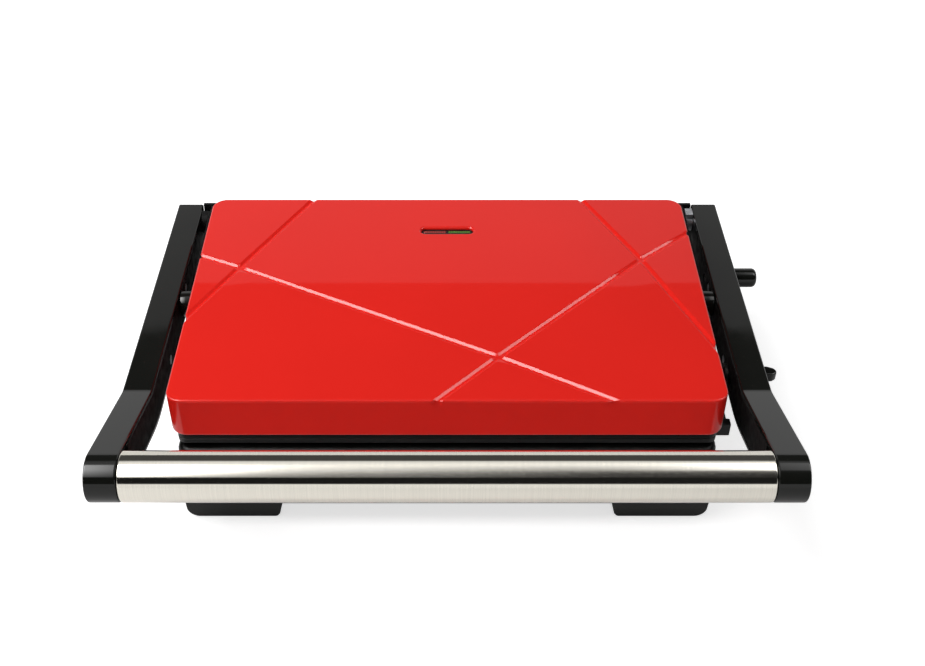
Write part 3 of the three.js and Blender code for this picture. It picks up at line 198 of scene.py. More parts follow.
def non_stick():
    s = Shader("non_stick_coat", (0.019, 0.019, 0.02), 0.45, Specular_IOR_Level=0.6)
    speck = s.node("ShaderNodeTexVoronoi", feature="F1")
    speck.inputs["Scale"].default_value = 900.0
    s.link(s.place, speck.inputs["Vector"])
    s.tint(speck.outputs["Distance"], 2.6, 0.85, 0.05, 0.28)
    s.rough(s.noise(400.0, 4.0), 0.38, 0.55)
    s.bump(s.noise(1600.0, 4.0), 0.00004, 0.5)
    return s.material


def lens(name, color):
    s = Shader(name, color, 0.18, Coat_Weight=0.3, Coat_Roughness=0.08)
    wave = s.node("ShaderNodeTexWave", wave_type="BANDS", bands_direction="X")
    wave.inputs["Scale"].default_value = 260.0
    s.link(s.place, wave.inputs["Vector"])
    s.tint(wave.outputs["Fac"], 0.75, 1.15, 0.0, 1.0)
    s.rough(s.noise(500.0, 3.0), 0.12, 0.26)
    s.bump(wave.outputs["Fac"], 0.0001, 0.5)
    return s.material


MATERIALS = {
    "black_dull": noisy("black_dull_moulding", (0.0045, 0.0045, 0.0045), 0.6, (60.0, 3.0, 0.8, 1.3),
                        (260.0, 5.0, 0.5, 0.7), (1500.0, 4.0, 0.00003, 0.4), Specular_IOR_Level=0.08),
    "darkened": noisy("darkened_steel", (0.035, 0.033, 0.032), 0.42, (300.0, 4.0, 0.7, 1.3),
                       (500.0, 4.0, 0.34, 0.52), (2200.0, 3.0, 0.00001, 0.4), metallic=1.0),
    "red_enamel": red_lacquer(),
    "black_gloss": noisy("black_gloss_moulding", (0.0068, 0.0072, 0.006), 0.07, (25.0, 3.0, 0.85, 1.2),
                         (120.0, 5.0, 0.05, 0.1), (1400.0, 3.0, 0.000004, 0.3), Specular_IOR_Level=0.35),
    "black_plastic": noisy("black_satin_moulding", (0.0058, 0.006, 0.0058), 0.36, (40.0, 3.0, 0.85, 1.25),
                           (200.0, 5.0, 0.3, 0.44), (2200.0, 4.0, 0.00002, 0.4), Specular_IOR_Level=0.25),
    "rubber": noisy("black_rubber", (0.014, 0.014, 0.014), 0.78, (60.0, 4.0, 0.7, 1.5),
                    (300.0, 5.0, 0.7, 0.88), (1800.0, 5.0, 0.00008, 0.6)),
    "bar_steel": brushed_steel(),
    "zinc_steel": noisy("zinc_plated_steel", (0.56, 0.57, 0.6), 0.33, (350.0, 4.0, 0.8, 1.15),
                        (500.0, 4.0, 0.26, 0.46), (2500.0, 3.0, 0.00001, 0.4), metallic=1.0),
    "tray_metal": tray_metal(),
    "non_stick": non_stick(),
    "heater_sheath": noisy("heater_sheath", (0.13, 0.12, 0.11), 0.55, (120.0, 5.0, 0.6, 1.5),
                           (200.0, 4.0, 0.45, 0.7), (900.0, 4.0, 0.00003, 0.5), metallic=1.0),
    "ceramic": noisy("ceramic", (0.66, 0.62, 0.52), 0.6, (180.0, 5.0, 0.88, 1.06),
                     (300.0, 4.0, 0.5, 0.72), (1200.0, 5.0, 0.00004, 0.5)),
    "lamp_glass": noisy("lamp_glass", (0.9, 0.85, 0.75), 0.06, (400.0, 3.0, 0.9, 1.05),
                        (300.0, 3.0, 0.04, 0.12), Transmission_Weight=0.8),
    "red_lens": lens("red_signal_lens", (0.26, 0.03, 0.022)),
    "green_lens": lens("green_signal_lens", (0.05, 0.17, 0.012)),
}

# ------------------------------------------------------------- carried-over CAD nodes

# Rounding of the carried-over pieces' edges, in metres and degrees
EDGE_WIDTH, EDGE_ANGLE, WELD_REACH = 0.00025, 32.0, 0.00001

slots = {row["node"]: row["material_slot"] for row in frame["record"]["subparts"]}


def even_shading(obj):
    normals = obj.modifiers.new("normals", "WEIGHTED_NORMAL")
    normals.keep_sharp = True


def soften(obj):
    """Small rounded edges and even shading on a piece, all by modifiers."""
    weld = obj.modifiers.new("weld", "WELD")
    weld.merge_threshold = WELD_REACH
    bevel = obj.modifiers.new("edges", "BEVEL")
    bevel.limit_method = "ANGLE"
    bevel.angle_limit = math.radians(EDGE_ANGLE)
    bevel.width = EDGE_WIDTH
    bevel.segments = 2
    even_shading(obj)


for node_name, obj in frame["nodes"].items():
    finish = slots[node_name]
    if node_name.startswith(("hinge_bracket", "arm_cover")):
        finish = "black_dull"
    # Hinge pins and the lock hook, which sit in the narrow gap between lid and arm, get a dark steel in place
    # of their zinc steel slot
    elif node_name.startswith(("hinge_pin", "lock_hook")):
        finish = "darkened"
    obj.data.materials.clear()
    obj.data.materials.append(MATERIALS[finish])
    obj.data.polygons.foreach_set("use_smooth", [True] * len(obj.data.polygons))
    soften(obj)

# ------------------------------------------------------------- mesh building


def to_scene(x, y, z):
    return ((x + SHIFT.x) * MM, (y + SHIFT.y) * MM, z * MM)


def mesh_object(name, verts, faces, origin=(0.0, 0.0, 0.0)):
    """Points in millimetres of the body's own frame, with the object's origin at a point of that frame."""
    home = Vector(to_scene(*origin)) if any(origin) else Vector((0, 0, 0))
    mesh = bpy.data.meshes.new(name)
    mesh.from_pydata([Vector(to_scene(*v)) - home for v in verts], [], faces)
    mesh.update()
    obj = bpy.data.objects.new(name, mesh)
    obj.location = home
    bpy.context.scene.collection.objects.link(obj)
    return obj


def sharpen(obj, angle):
    """Shades smooth, with edges steeper than angle kept sharp and faces turned outwards."""
    bm = bmesh.new()
    bm.from_mesh(obj.data)
    bmesh.ops.remove_doubles(bm, verts=bm.verts, dist=0.000002)
    bmesh.ops.recalc_face_normals(bm, faces=bm.faces)
    for face in bm.faces:
        face.smooth = True
    limit = math.radians(angle)
    for edge in bm.edges:
        edge.smooth = len(edge.link_faces) == 2 and edge.calc_face_angle(0.0) < limit
    bm.to_mesh(obj.data)
    bm.free()


def dress(obj, body, slot, replaces=(), angle=40.0, recalc=True):
    """Gives a piece its finish, its body and the nodes that it stands for.
    recalc shades it by its faces; without it the normals that it already has stay."""
    obj.data.materials.clear()
    obj.data.materials.append(MATERIALS[slot])
    if recalc:
        sharpen(obj, angle)
        even_shading(obj)
    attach(obj, body)
    if replaces:
        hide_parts(*replaces)


def select_only(*objects):
    """Selects these objects alone, with the first one active."""
    for other in bpy.context.selected_objects:
        other.select_set(False)
    for obj in objects:
        obj.select_set(True)
    bpy.context.view_layer.objects.active = objects[0]


def joined(name, parts):
    select_only(*parts)
    bpy.ops.object.join()
    parts[0].name = name
    parts[0].data.name = name
    return parts[0]


def cut(obj, cutters):
    for cutter in cutters:
        mod = obj.modifiers.new("cut", "BOOLEAN")
        mod.object = cutter
        mod.operation = "DIFFERENCE"
        mod.solver = "EXACT"
        select_only(obj)
        bpy.ops.object.modifier_apply(modifier=mod.name)
        bpy.data.objects.remove(cutter)


def bevel_now(obj, width, segments, angle=30):
    """Rounds the edges steeper than angle, with the width in millimetres."""
    mod = obj.modifiers.new("bevel", "BEVEL")
    mod.limit_method = "ANGLE"
    mod.angle_limit = math.radians(angle)
    mod.width = width * MM
    mod.segments = segments
    select_only(obj)
    bpy.ops.object.modifier_apply(modifier=mod.name)


def band_faces(rows, count, closed=False):
    """Quads between rows of count points each. closed joins the last row to the first."""
    faces = []
    for row in range(rows if closed else rows - 1):
        after = (row + 1) % rows
        for i in range(count):
            j = (i + 1) % count
            faces.append((row * count + i, row * count + j, after * count + j, after * count + i))
    return faces


# A rounded rectangle's inner rings keep at least this corner radius
LEAST_CORNER = 0.8


def ring_points(half_x, half_y, corner, steps):
    """Points of a rounded rectangle, counter-clockwise from the top of its right side."""
    points = []
    for quarter, (sx, sy) in enumerate(((1, 1), (-1, 1), (-1, -1), (1, -1))):
        cx, cy = sx * (half_x - corner), sy * (half_y - corner)
        for step in range(steps + 1):
            angle = (quarter + step / steps) * math.pi / 2
            points.append((cx + corner * math.cos(angle), cy + corner * math.sin(angle)))
    return points


def ring_sweep(name, half_x, half_y, corner, profile, steps):
    """A closed cross-section carried round a rounded rectangle. Its points are (inset, z), or
    (inset in x, z, inset in y, corner radius) for a ring with a corner of its own."""
    verts = []
    for inset, z, *own in profile:
        inset_y, radius = own if own else (inset, max(corner - inset, LEAST_CORNER))
        verts += [(x, y, z) for x, y in ring_points(half_x - inset, half_y - inset_y, radius, steps)]
    return mesh_object(name, verts, band_faces(len(profile), 4 * (steps + 1), closed=True))


def fillet(inset, z, radius, quadrant, steps):
    """Points of a quarter round whose corner would be at (inset, z).
    top: from the side up to the top; bottom: from the bottom out to the side."""
    points = []
    for step in range(steps + 1):
        a = step / steps * math.pi / 2
        if quadrant == "top":
            points.append((inset + radius * (1 - math.cos(a)), z - radius * (1 - math.sin(a))))
        else:
            points.append((inset + radius * (1 - math.sin(a)), z + radius * (1 - math.cos(a))))
    return points


def lathe(name, profile, axis, centre, sides=64):
    """profile: (radius, place along the axis) pairs; ends on the axis are closed."""
    verts = []
    for radius, along in profile:
        for side in range(sides):
            a = 2 * math.pi * side / sides
            u, v = radius * math.cos(a), radius * math.sin(a)
            place = {"x": (along, u, v), "y": (u, along, v), "z": (u, v, along)}[axis]
            verts.append(tuple(c + p for c, p in zip(centre, place)))
    origin = tuple(0 if way == axis else c for way, c in zip("xyz", centre))
    return mesh_object(name, verts, band_faces(len(profile), sides), origin)


def prism(name, outline, levels, place):
    """An outline given a thickness. place turns a point of the outline and a level into x, y, z."""
    count = len(outline)
    verts = [place(u, v, level) for level in levels for u, v in outline]
    ends = [tuple(reversed(range(count))), tuple(range(count, 2 * count))]
    return mesh_object(name, verts, ends + band_faces(2, count))


def extrude_side(name, outline, x0, x1):
    """An outline in Y and Z, given a thickness along X."""
    return prism(name, outline, (x0, x1), lambda y, z, x: (x, y, z))


def extrude_front(name, outline, y0, y1):
    """An outline in X and Z, given a thickness along Y."""
    return prism(name, outline, (y0, y1), lambda x, z, y: (x, y, z))


def extrude_plan(name, outline, z0, z1):
    """An outline in X and Y, given a thickness along Z."""
    return prism(name, outline, (z0, z1), lambda x, y, z: (x, y, z))


def arc(cx, cy, radius, start, end, steps):
    angles = [start + (end - start) * i / steps for i in range(steps + 1)]
    return [(cx + radius * math.cos(a), cy + radius * math.sin(a)) for a in angles]


# ------------------------------------------------------------- lid cover with its grooves

# The cover's half sizes, corners, heights and wall
HALF_X, HALF_Y, CORNER = 126.2, 80.0, 7.5
COVER_BOTTOM, LID_TOP = 61.35, 83.5
TOP_FILLET, BOTTOM_FILLET = 1.0, 1.8
COVER_WALL, INNER_CORNER = 2.5, 6.0
CORNER_STEPS = 14
# Rings of points up the side, between its two roundings
SIDE_LEVELS = (72.0, 77.0, 79.3, 80.3, 81.2, 82.0)
BOTTOM_TURN, BOTTOM_STEPS = 84, 7
# Faces above these heights belong to the flat top, and to all that a groove can reach
ON_TOP, GROOVED = LID_TOP - 0.1, LID_TOP - 5

# A groove's half width and depth, the share of it that slopes, and how soft the slope's ends are
GROOVE_HALF, GROOVE_DEPTH = 1.9, 0.88
SLOPE_SHARE, SLOPE_SOFT = 0.85, 0.2
# Grooves run past the edge, and fade out down the side within this span from this far below the top
GROOVE_OVERRUN, FADE_FROM, FADE_SPAN = 6, 3.2, 2.2
# Where the faces are cut along a groove, in shares of its half width
GROOVE_CUTS = (0.15, 0.23, 0.32, 0.58, 0.83, 0.91, 1.0)

# A shallow round pad lies where grooves cross. Faces are cut apart round it, then through it
PAD_RADIUS, PAD_SINK = 4.0, 0.75
PAD_ZONE, PAD_REACH, PAD_TURNS, PAD_CUTS = 6.0, 9, 12, (0.55, 1.0)

# Ends and crossings of the grooves, in shares of the cover's half sizes
PLACES = {
    "left_rear": (-0.571, 1.0),
    "left_crossing": (-0.831, 0.23),
    "left_front": (-1.0, -0.279),
    "left_edge": (-1.0, 0.355),
    "front_crossing": (0.187, -0.626),
    "front_right": (0.594, -1.0),
    "front_left": (-0.037, -1.0),
    "right_rear": (0.573, 1.0),
    "right_crossing": (0.78, 0.316),
    "right_edge": (1.0, 0.611),
    "right_front": (1.0, -0.551),
}
RUNS = (
    ("left_rear", "left_crossing"),
    ("left_front", "left_crossing"),
    ("left_edge", "left_crossing"),
    ("left_crossing", "front_crossing"),
    ("front_right", "front_crossing"),
    ("front_left", "front_crossing"),
    ("right_crossing", "front_crossing"),
    ("right_rear", "right_crossing"),
    ("right_edge", "right_crossing"),
    ("right_front", "right_crossing"),
)


def groove_place(name):
    share_x, share_y = PLACES[name]
    return Vector((share_x * HALF_X, share_y * HALF_Y))


def groove_segments():
    segments = []
    for start, end in RUNS:
        a, b = groove_place(start), groove_place(end)
        if "crossing" not in start:
            a = a + (a - b).normalized() * GROOVE_OVERRUN
        segments.append((a, b))
    return segments


SEGMENTS = groove_segments()
CROSSINGS = [groove_place(name) for name in PLACES if "crossing" in name]


def groove_share(reach):
    """A groove's cross-section: an even bottom and two even slopes with soft ends."""
    t = max(0.0, min(1.0, (1.0 - reach) / SLOPE_SHARE))
    if t < SLOPE_SOFT:
        climb = t * t / (2 * SLOPE_SOFT)
    elif t > 1 - SLOPE_SOFT:
        climb = 1 - SLOPE_SOFT - (1 - t) ** 2 / (2 * SLOPE_SOFT)
    else:
        climb = t - SLOPE_SOFT / 2
    return climb / (1 - SLOPE_SOFT)


def sink(x, y):
    """How deep the cover's surface lies below its plain form at a point of its plan."""
    left = 1.0
    here = Vector((x, y))
    for a, b in SEGMENTS:
        along = b - a
        t = max(0.0, min(1.0, (here - a).dot(along) / along.length_squared))
        reach = (here - (a + along * t)).length / GROOVE_HALF
        if reach < 1.0:
            left *= 1.0 - groove_share(reach)
    for middle in CROSSINGS:
        reach = (here - middle).length / PAD_RADIUS
        if reach < 1.0:
            left *= 1.0 - PAD_SINK * (1.0 - reach * reach) ** 3
    return GROOVE_DEPTH * (1.0 - left)


def sink_slope(x, y):
    """How fast that depth grows along X and Y."""
    step = 0.02
    return Vector((
        (sink(x + step, y) - sink(x - step, y)) / (2 * step),
        (sink(x, y + step) - sink(x, y - step)) / (2 * step),
        0.0,
    ))


def cover_normal(x, y, z):
    """The normal of the cover's plain form, without grooves."""
    cx = max(-(HALF_X - CORNER), min(HALF_X - CORNER, x))
    cy = max(-(HALF_Y - CORNER), min(HALF_Y - CORNER, y))
    flat = Vector((x - cx, y - cy, 0.0))
    if z > LID_TOP - 1e-6 or flat.length < 1e-6:
        return Vector((0, 0, 1))
    flat.normalize()
    if z > LID_TOP - TOP_FILLET:
        lift = min(1.0, (z - (LID_TOP - TOP_FILLET)) / TOP_FILLET)
    elif z < COVER_BOTTOM + BOTTOM_FILLET:
        lift = max(-1.0, (z - (COVER_BOTTOM + BOTTOM_FILLET)) / BOTTOM_FILLET)
    else:
        lift = 0.0
    return (flat * math.sqrt(1 - lift * lift) + Vector((0, 0, lift))).normalized()


# Signal window: its place, the flat patch round it, and the slot with its rounded lip
WINDOW_Y = 50.75
PATCH_X, PATCH_Y = 17.0, 7.0
SLOT_LENGTH, SLOT_HALF, SLOT_LIP = 13.7, 2.6, 1.2
SLOT_BOTTOM = LID_TOP - 2.4
LIP_STEPS, ROUND_STEPS = 10, 10
# The lamp holder's black rim in the slot, and the lenses' strips in it
RIM_BOTTOM, RIM_TOP, RIM_GAP = 81.2, LID_TOP - 1.45, 0.05
STRIP_Y, STRIP_HALF, STRIP_NEAR, STRIP_FAR, STRIP_GAP = WINDOW_Y + 0.5, 0.95, 0.6, 12.4, 0.03
LENS_BOTTOM = 81.0


def cover_levels():
    """(inset, height) of the cover's rings of points, from the bottom up."""
    turns = [-math.radians(BOTTOM_TURN) * (1 - i / BOTTOM_STEPS) for i in range(BOTTOM_STEPS + 1)]
    r = BOTTOM_FILLET
    levels = [(r * (1 - math.cos(a)), COVER_BOTTOM + r * (1 + math.sin(a))) for a in turns]
    levels += [(0.0, z) for z in SIDE_LEVELS]
    levels += fillet(0.0, LID_TOP, TOP_FILLET, "top", 8)
    return levels


def slice_faces(bm, wanted, spot, normal):
    """Cuts the wanted faces where a plane crosses them."""
    geom = [f for f in bm.faces if wanted(f)]
    geom += list({e for f in geom for e in f.edges}) + list({v for f in geom for v in f.verts})
    bmesh.ops.bisect_plane(bm, geom=geom, dist=1e-5, plane_co=spot, plane_no=normal)


def is_on_top(face):
    return face.calc_center_median().z > ON_TOP


def cut_along_grooves(bm):
    for a, b in SEGMENTS:
        along = (b - a).normalized()
        across = Vector((-along.y, along.x, 0.0))
        for share in [-share for share in reversed(GROOVE_CUTS)] + list(GROOVE_CUTS):
            spot = Vector((a.x, a.y, 0.0)) + across * share * GROOVE_HALF
            slice_faces(bm, lambda f: f.calc_center_median().z > GROOVED, spot, across)


def cut_at_crossings(bm):
    for middle in CROSSINGS:
        def near_zone(face):
            return is_on_top(face) and min((v.co.xy - middle).length for v in face.verts) < 1.5 * PAD_ZONE

        def near_pad(face):
            return (face.calc_center_median().xy - middle).length < PAD_REACH and is_on_top(face)

        for offset in (-PAD_ZONE, PAD_ZONE):
            for normal in ((1, 0, 0), (0, 1, 0)):
                slice_faces(bm, near_zone, (middle.x + offset, middle.y + offset, 0.0), normal)
        for turn in range(PAD_TURNS):
            angle = math.pi * turn / PAD_TURNS
            across = Vector((-math.sin(angle), math.cos(angle), 0.0))
            for share in PAD_CUTS:
                spot = Vector((middle.x, middle.y, 0.0)) + across * share * PAD_RADIUS
                slice_faces(bm, near_pad, spot, across)


def open_window(bm):
    """Takes the flat patch round the window out of the top."""
    for sign in (-1, 1):
        slice_faces(bm, is_on_top, (sign * PATCH_X, 0, 0), (1, 0, 0))
    for sign in (-1, 1):
        slice_faces(bm, is_on_top, (0, WINDOW_Y + sign * PATCH_Y, 0), (0, 1, 0))
    gone = []
    for face in bm.faces:
        c = face.calc_center_median()
        if c.z > ON_TOP and abs(c.x) < PATCH_X and abs(c.y - WINDOW_Y) < PATCH_Y:
            gone.append(face)
    bmesh.ops.delete(bm, geom=gone, context="FACES")


def lid_cover_outside():
    """The cover's outer surface with its grooves, as points, normals and faces."""
    bm = bmesh.new()
    rings = []
    for inset, z in cover_levels():
        points = ring_points(HALF_X - inset, HALF_Y - inset, CORNER - inset, CORNER_STEPS)
        rings.append([bm.verts.new((x, y, z)) for x, y in points])
    for low, high in zip(rings, rings[1:]):
        for i in range(len(low)):
            j = (i + 1) % len(low)
            bm.faces.new((low[i], low[j], high[j], high[i]))
    bm.faces.new(rings[-1])
    cut_along_grooves(bm)
    cut_at_crossings(bm)
    open_window(bm)
    bmesh.ops.triangulate(bm, faces=[f for f in bm.faces if len(f.verts) > 4])
    bm.verts.ensure_lookup_table()
    bm.verts.index_update()
    verts, normals = [], []
    for v in bm.verts:
        x, y, z = v.co
        place, normal = Vector(v.co), cover_normal(x, y, z)
        fade = max(0.0, min(1.0, (z - LID_TOP + FADE_FROM) / FADE_SPAN))
        fade = fade * fade * (3 - 2 * fade)
        if fade > 0 and (depth := sink(x, y)) > 0:
            place = place - normal * depth * fade
            slope = sink_slope(x, y) * fade
            normal = (normal + slope - normal * slope.dot(normal)).normalized()
        verts.append(place)
        normals.append(normal)
    faces = [tuple(v.index for v in f.verts) for f in bm.faces]
    bm.free()
    return verts, normals, faces


def stadium(half_length, half_width):
    """An outline with two round ends, about the window's middle."""
    straight = half_length - half_width
    right = arc(straight, WINDOW_Y, half_width, -math.pi / 2, math.pi / 2, ROUND_STEPS)
    left = arc(-straight, WINDOW_Y, half_width, math.pi / 2, 3 * math.pi / 2, ROUND_STEPS)
    return right + left


def patch_outline(base):
    """The patch's rectangle, with a point for each point of the slot's outline."""
    outline = []
    for x, y in base:
        dx, dy = x * 0.55, y - WINDOW_Y
        reach = min(PATCH_X / abs(dx) if dx else 1e9, PATCH_Y / abs(dy) if dy else 1e9)
        outline.append((dx * reach, WINDOW_Y + dy * reach))
    for sx, sy in ((1, -1), (1, 1), (-1, 1), (-1, -1)):
        x, y = sx * PATCH_X, WINDOW_Y + sy * PATCH_Y
        near = min(range(len(outline)), key=lambda i: (outline[i][0] - x) ** 2 + (outline[i][1] - y) ** 2)
        outline[near] = (x, y)
    return outline


def window_bezel():
    """The flat patch round the signal window, the slot's rounded lip and its wall."""
    base = stadium(SLOT_LENGTH, SLOT_HALF)
    # Each ring is its points, their height and the angle of their normals above the horizontal
    rings = [(patch_outline(base), LID_TOP, math.pi / 2)]
    for i in range(LIP_STEPS + 1):
        a = math.pi / 2 * (1 - i / LIP_STEPS)
        out, z = SLOT_LIP * (1 - math.cos(a)), LID_TOP - SLOT_LIP * (1 - math.sin(a))
        rings.append((stadium(SLOT_LENGTH + out, SLOT_HALF + out), z, a))
    rings.append((base, SLOT_BOTTOM, 0.0))
    verts, normals = [], []
    count = len(base)
    for points, z, up in rings:
        for i, (x, y) in enumerate(points):
            a, b = base[i - 1], base[(i + 1) % count]
            tangent = Vector((b[0] - a[0], b[1] - a[1], 0)).normalized()
            inwards = Vector((-tangent.y, tangent.x, 0))
            verts.append(Vector((x, y, z)))
            normals.append((inwards * math.cos(up) + Vector((0, 0, math.sin(up)))).normalized())
    return verts, normals, band_faces(len(rings), count)


def lid_cover_inside():
    """Inner walls, in the same places as the solid's."""
    half_x, half_y = HALF_X - COVER_WALL, HALF_Y - COVER_WALL
    limit_x, limit_y = half_x - INNER_CORNER, half_y - INNER_CORNER
    outline = ring_points(half_x, half_y, INNER_CORNER, CORNER_STEPS)
    verts, normals = [], []
    for z in (COVER_BOTTOM + 0.015, LID_TOP - COVER_WALL):
        for x, y in outline:
            cx, cy = max(-limit_x, min(limit_x, x)), max(-limit_y, min(limit_y, y))
            verts.append(Vector((x, y, z)))
            normals.append(Vector((cx - x, cy - y, 0)).normalized())
    return verts, normals, band_faces(2, len(outline))


def lid_cover():
    verts, normals, faces = [], [], []
    for more_verts, more_normals, more_faces in (lid_cover_outside(), window_bezel(), lid_cover_inside()):
        start = len(verts)
        verts += more_verts
        normals += more_normals
        faces += [tuple(i + start for i in face) for face in more_faces]
    obj = mesh_object("lid_cover_skin", verts, faces)
    bm = bmesh.new()
    bm.from_mesh(obj.data)
    for face in bm.faces:
        face.smooth = True
        want = sum((normals[v.index] for v in face.verts), Vector())
        if face.normal.dot(want) < 0:
            face.normal_flip()
    bm.to_mesh(obj.data)
    bm.free()
    obj.data.normals_split_custom_set_from_vertices([tuple(n) for n in normals])
    dress(obj, "lid", "red_enamel", ("lid_cover",), recalc=False)


lid_cover()

# ------------------------------------------------------------- lid frame and base housing

# Openings for the cooking plates: half sizes, how far their ledges reach in, wall and corners
SEAT_X, SEAT_Y, OPEN_IN, SEAT_WALL = 116.3, 72.3, 8.0, 2.5
SEAT_CORNER, SEAT_BACK_CORNER = 5.0, 7.5
# The housing's screw posts
POST_X, POST_Y, POST_BORE, POST_RADIUS, POST_LOW, POST_HIGH = 112.3, 56.0, 1.7, 3.5, 18.1, 45.5


def seat(half_x, half_y, rings):
    """Rings of an opening as ring_sweep takes them, from (reach inwards, height, corner) rows."""
    return [(half_x - SEAT_X + inwards, z, half_y - SEAT_Y + inwards, corner) for inwards, z, corner in rings]


def lid_frame():
    half_x, half_y, bottom, top = 124.0, 78.0, 54.75, 67.65
    ledge, ledge_top = 59.55, 62.05
    profile = [(0.6, top, 0.8, 6.0), (0.6, 61.2, 0.8, 6.0), (0.35, 61.05)]
    profile += [(0.0, 60.7), (0.0, 58.3), (0.3, 58.1), (0.3, 57.8), (0.0, 57.6), (0.0, 55.8)]
    profile += list(reversed(fillet(0.0, bottom, 1.0, "bottom", 5)))
    profile += seat(half_x, half_y, (
        (-0.4, bottom, SEAT_CORNER), (0, bottom + 0.4, SEAT_CORNER), (0, ledge, SEAT_CORNER),
        (OPEN_IN, ledge, SEAT_CORNER), (OPEN_IN, ledge_top, SEAT_CORNER),
        (-SEAT_WALL, ledge_top, SEAT_BACK_CORNER), (-SEAT_WALL, bottom + SEAT_WALL, SEAT_BACK_CORNER),
    ))
    profile += [(SEAT_WALL, bottom + SEAT_WALL), (SEAT_WALL, top)]
    obj = ring_sweep("lid_frame_skin", half_x, half_y, 4.0, profile, steps=10)
    dress(obj, "lid", "black_plastic", ("lid_frame",), angle=50)


def base_housing():
    half_x, half_y, bottom, top = 125.0, 80.0, 15.0, 52.0
    ledge, ledge_bottom = 47.2, 44.7
    profile = [(SEAT_WALL, bottom + 0.2)] + fillet(0.0, bottom, 2.5, "bottom", 6)[1:]
    profile += [(0.0, 30.0), (0.0, 44.0)]
    profile += fillet(0.0, top, 3.0, "top", 8)
    profile += seat(half_x, half_y, (
        (-0.5, top, SEAT_CORNER), (-0.15, top - 0.15, SEAT_CORNER), (0, top - 0.5, SEAT_CORNER),
        (0, ledge, SEAT_CORNER), (OPEN_IN, ledge, SEAT_CORNER), (OPEN_IN, ledge_bottom, SEAT_CORNER),
        (-SEAT_WALL, ledge_bottom, SEAT_BACK_CORNER), (-SEAT_WALL, top - SEAT_WALL, SEAT_BACK_CORNER),
    ))
    profile += [(SEAT_WALL, top - SEAT_WALL)]
    tray = ring_sweep("base_housing_skin", half_x, half_y, 6.0, profile, steps=12)
    post = [(POST_BORE, POST_LOW), (POST_RADIUS, POST_LOW), (POST_RADIUS, POST_HIGH)]
    posts = [lathe("post", post, "z", (sx * POST_X, sy * POST_Y, 0), 24) for sx in (-1, 1) for sy in (-1, 1)]
    obj = joined("base_housing_skin", [tray, *posts])
    dress(obj, "base", "black_plastic", ("base_housing",), angle=50)


def lock_catch():
    outline = [(-62, 43.8), (-56, 43.8), (-56.6, 46), (-57.5, 51.4), (-62, 51.4)]
    obj = extrude_side("lock_catch_skin", outline, 125.3, 134.2)
    bevel_now(obj, 0.7, 3)
    dress(obj, "base", "black_plastic", ("lock_catch",), angle=40)


lid_frame()
base_housing()
lock_catch()

# ------------------------------------------------------------- arms and handle

# An arm's faces, rear end, underside and the top of its rear end
ARM_IN, ARM_OUT, ARM_REAR, ARM_BOTTOM, ARM_TOP = 136.9, 150.7, 99.0, 48.5, 67.5
# Where its upper and lower outlines turn towards the bar, and how long these turns are
KINK, KINK_REACH = (-59.3, 70.5), 1.2
BEND, BEND_REACH = (-58.5, 48.5), 11
# Its edge rounding and, in metres, the rim and depth of its hollow inner side
ARM_EDGE, HOLLOW_RIM, HOLLOW_DEPTH = 0.9, 0.0016, 0.0023
BAR_Y, BAR_Z, BAR_R = -121.5, 78.9, 11.0
# The knob's axis, and the span that the cuts through the right arm's wall take
KNOB_Y, KNOB_Z = 42.6, 58.5
CUT_FROM, CUT_TO = 130.0, 155.0


def tangent(start, side):
    """Angle of the line from start that touches the arm's round end on one side."""
    away = Vector((BAR_Y - start[0], BAR_Z - start[1]))
    return math.atan2(away.y, away.x) - side * math.asin(BAR_R / away.length)


def arm_outline():
    above = tangent(KINK, 1)
    below = tangent(BEND, -1)
    start, end = above - math.pi / 2, below + math.pi / 2
    while start < 0:
        start += 2 * math.pi
    while end < start:
        end += 2 * math.pi
    round_end = arc(BAR_Y, BAR_Z, BAR_R, start, end, 28)
    toward = Vector((math.cos(below), math.sin(below)))
    p0 = Vector(BEND) + toward * BEND_REACH
    p2 = Vector(BEND) + Vector((BEND_REACH, 0))
    curve = []
    for i in range(11):
        t = i / 10
        curve.append(tuple(p0 * (1 - t) ** 2 + Vector(BEND) * 2 * t * (1 - t) + p2 * t * t))
    kink_in = Vector(KINK) + Vector((KINK_REACH, -0.02))
    kink_out = Vector(KINK) + Vector((math.cos(above), math.sin(above))) * KINK_REACH
    return [(ARM_REAR, ARM_BOTTOM), (ARM_REAR, ARM_TOP), tuple(kink_in), tuple(kink_out)] + round_end + curve


def hollow_out(obj, sx):
    """Sinks the arm's inner face, all but a rim."""
    bm = bmesh.new()
    bm.from_mesh(obj.data)
    inner_x = (sx * ARM_IN + SHIFT.x) * MM
    inner = [f for f in bm.faces if abs(f.calc_center_median().x - inner_x) < 1e-5]
    face = max(inner, key=lambda f: f.calc_area())
    bmesh.ops.inset_region(bm, faces=[face], thickness=HOLLOW_RIM, use_even_offset=True)
    moved = bmesh.ops.extrude_face_region(bm, geom=[face])
    moved_verts = [v for v in moved["geom"] if isinstance(v, bmesh.types.BMVert)]
    bmesh.ops.translate(bm, verts=moved_verts, vec=(sx * HOLLOW_DEPTH, 0, 0))
    bmesh.ops.delete(bm, geom=[face], context="FACES_ONLY")
    # Without this, the order of the new points and faces varies from run to run
    for parts, place in ((bm.verts, lambda v: v.co), (bm.faces, lambda f: f.calc_center_median())):
        for index, part in enumerate(sorted(parts, key=lambda p: tuple(place(p)))):
            part.index = index
        parts.sort()
    bm.to_mesh(obj.data)
    bm.free()


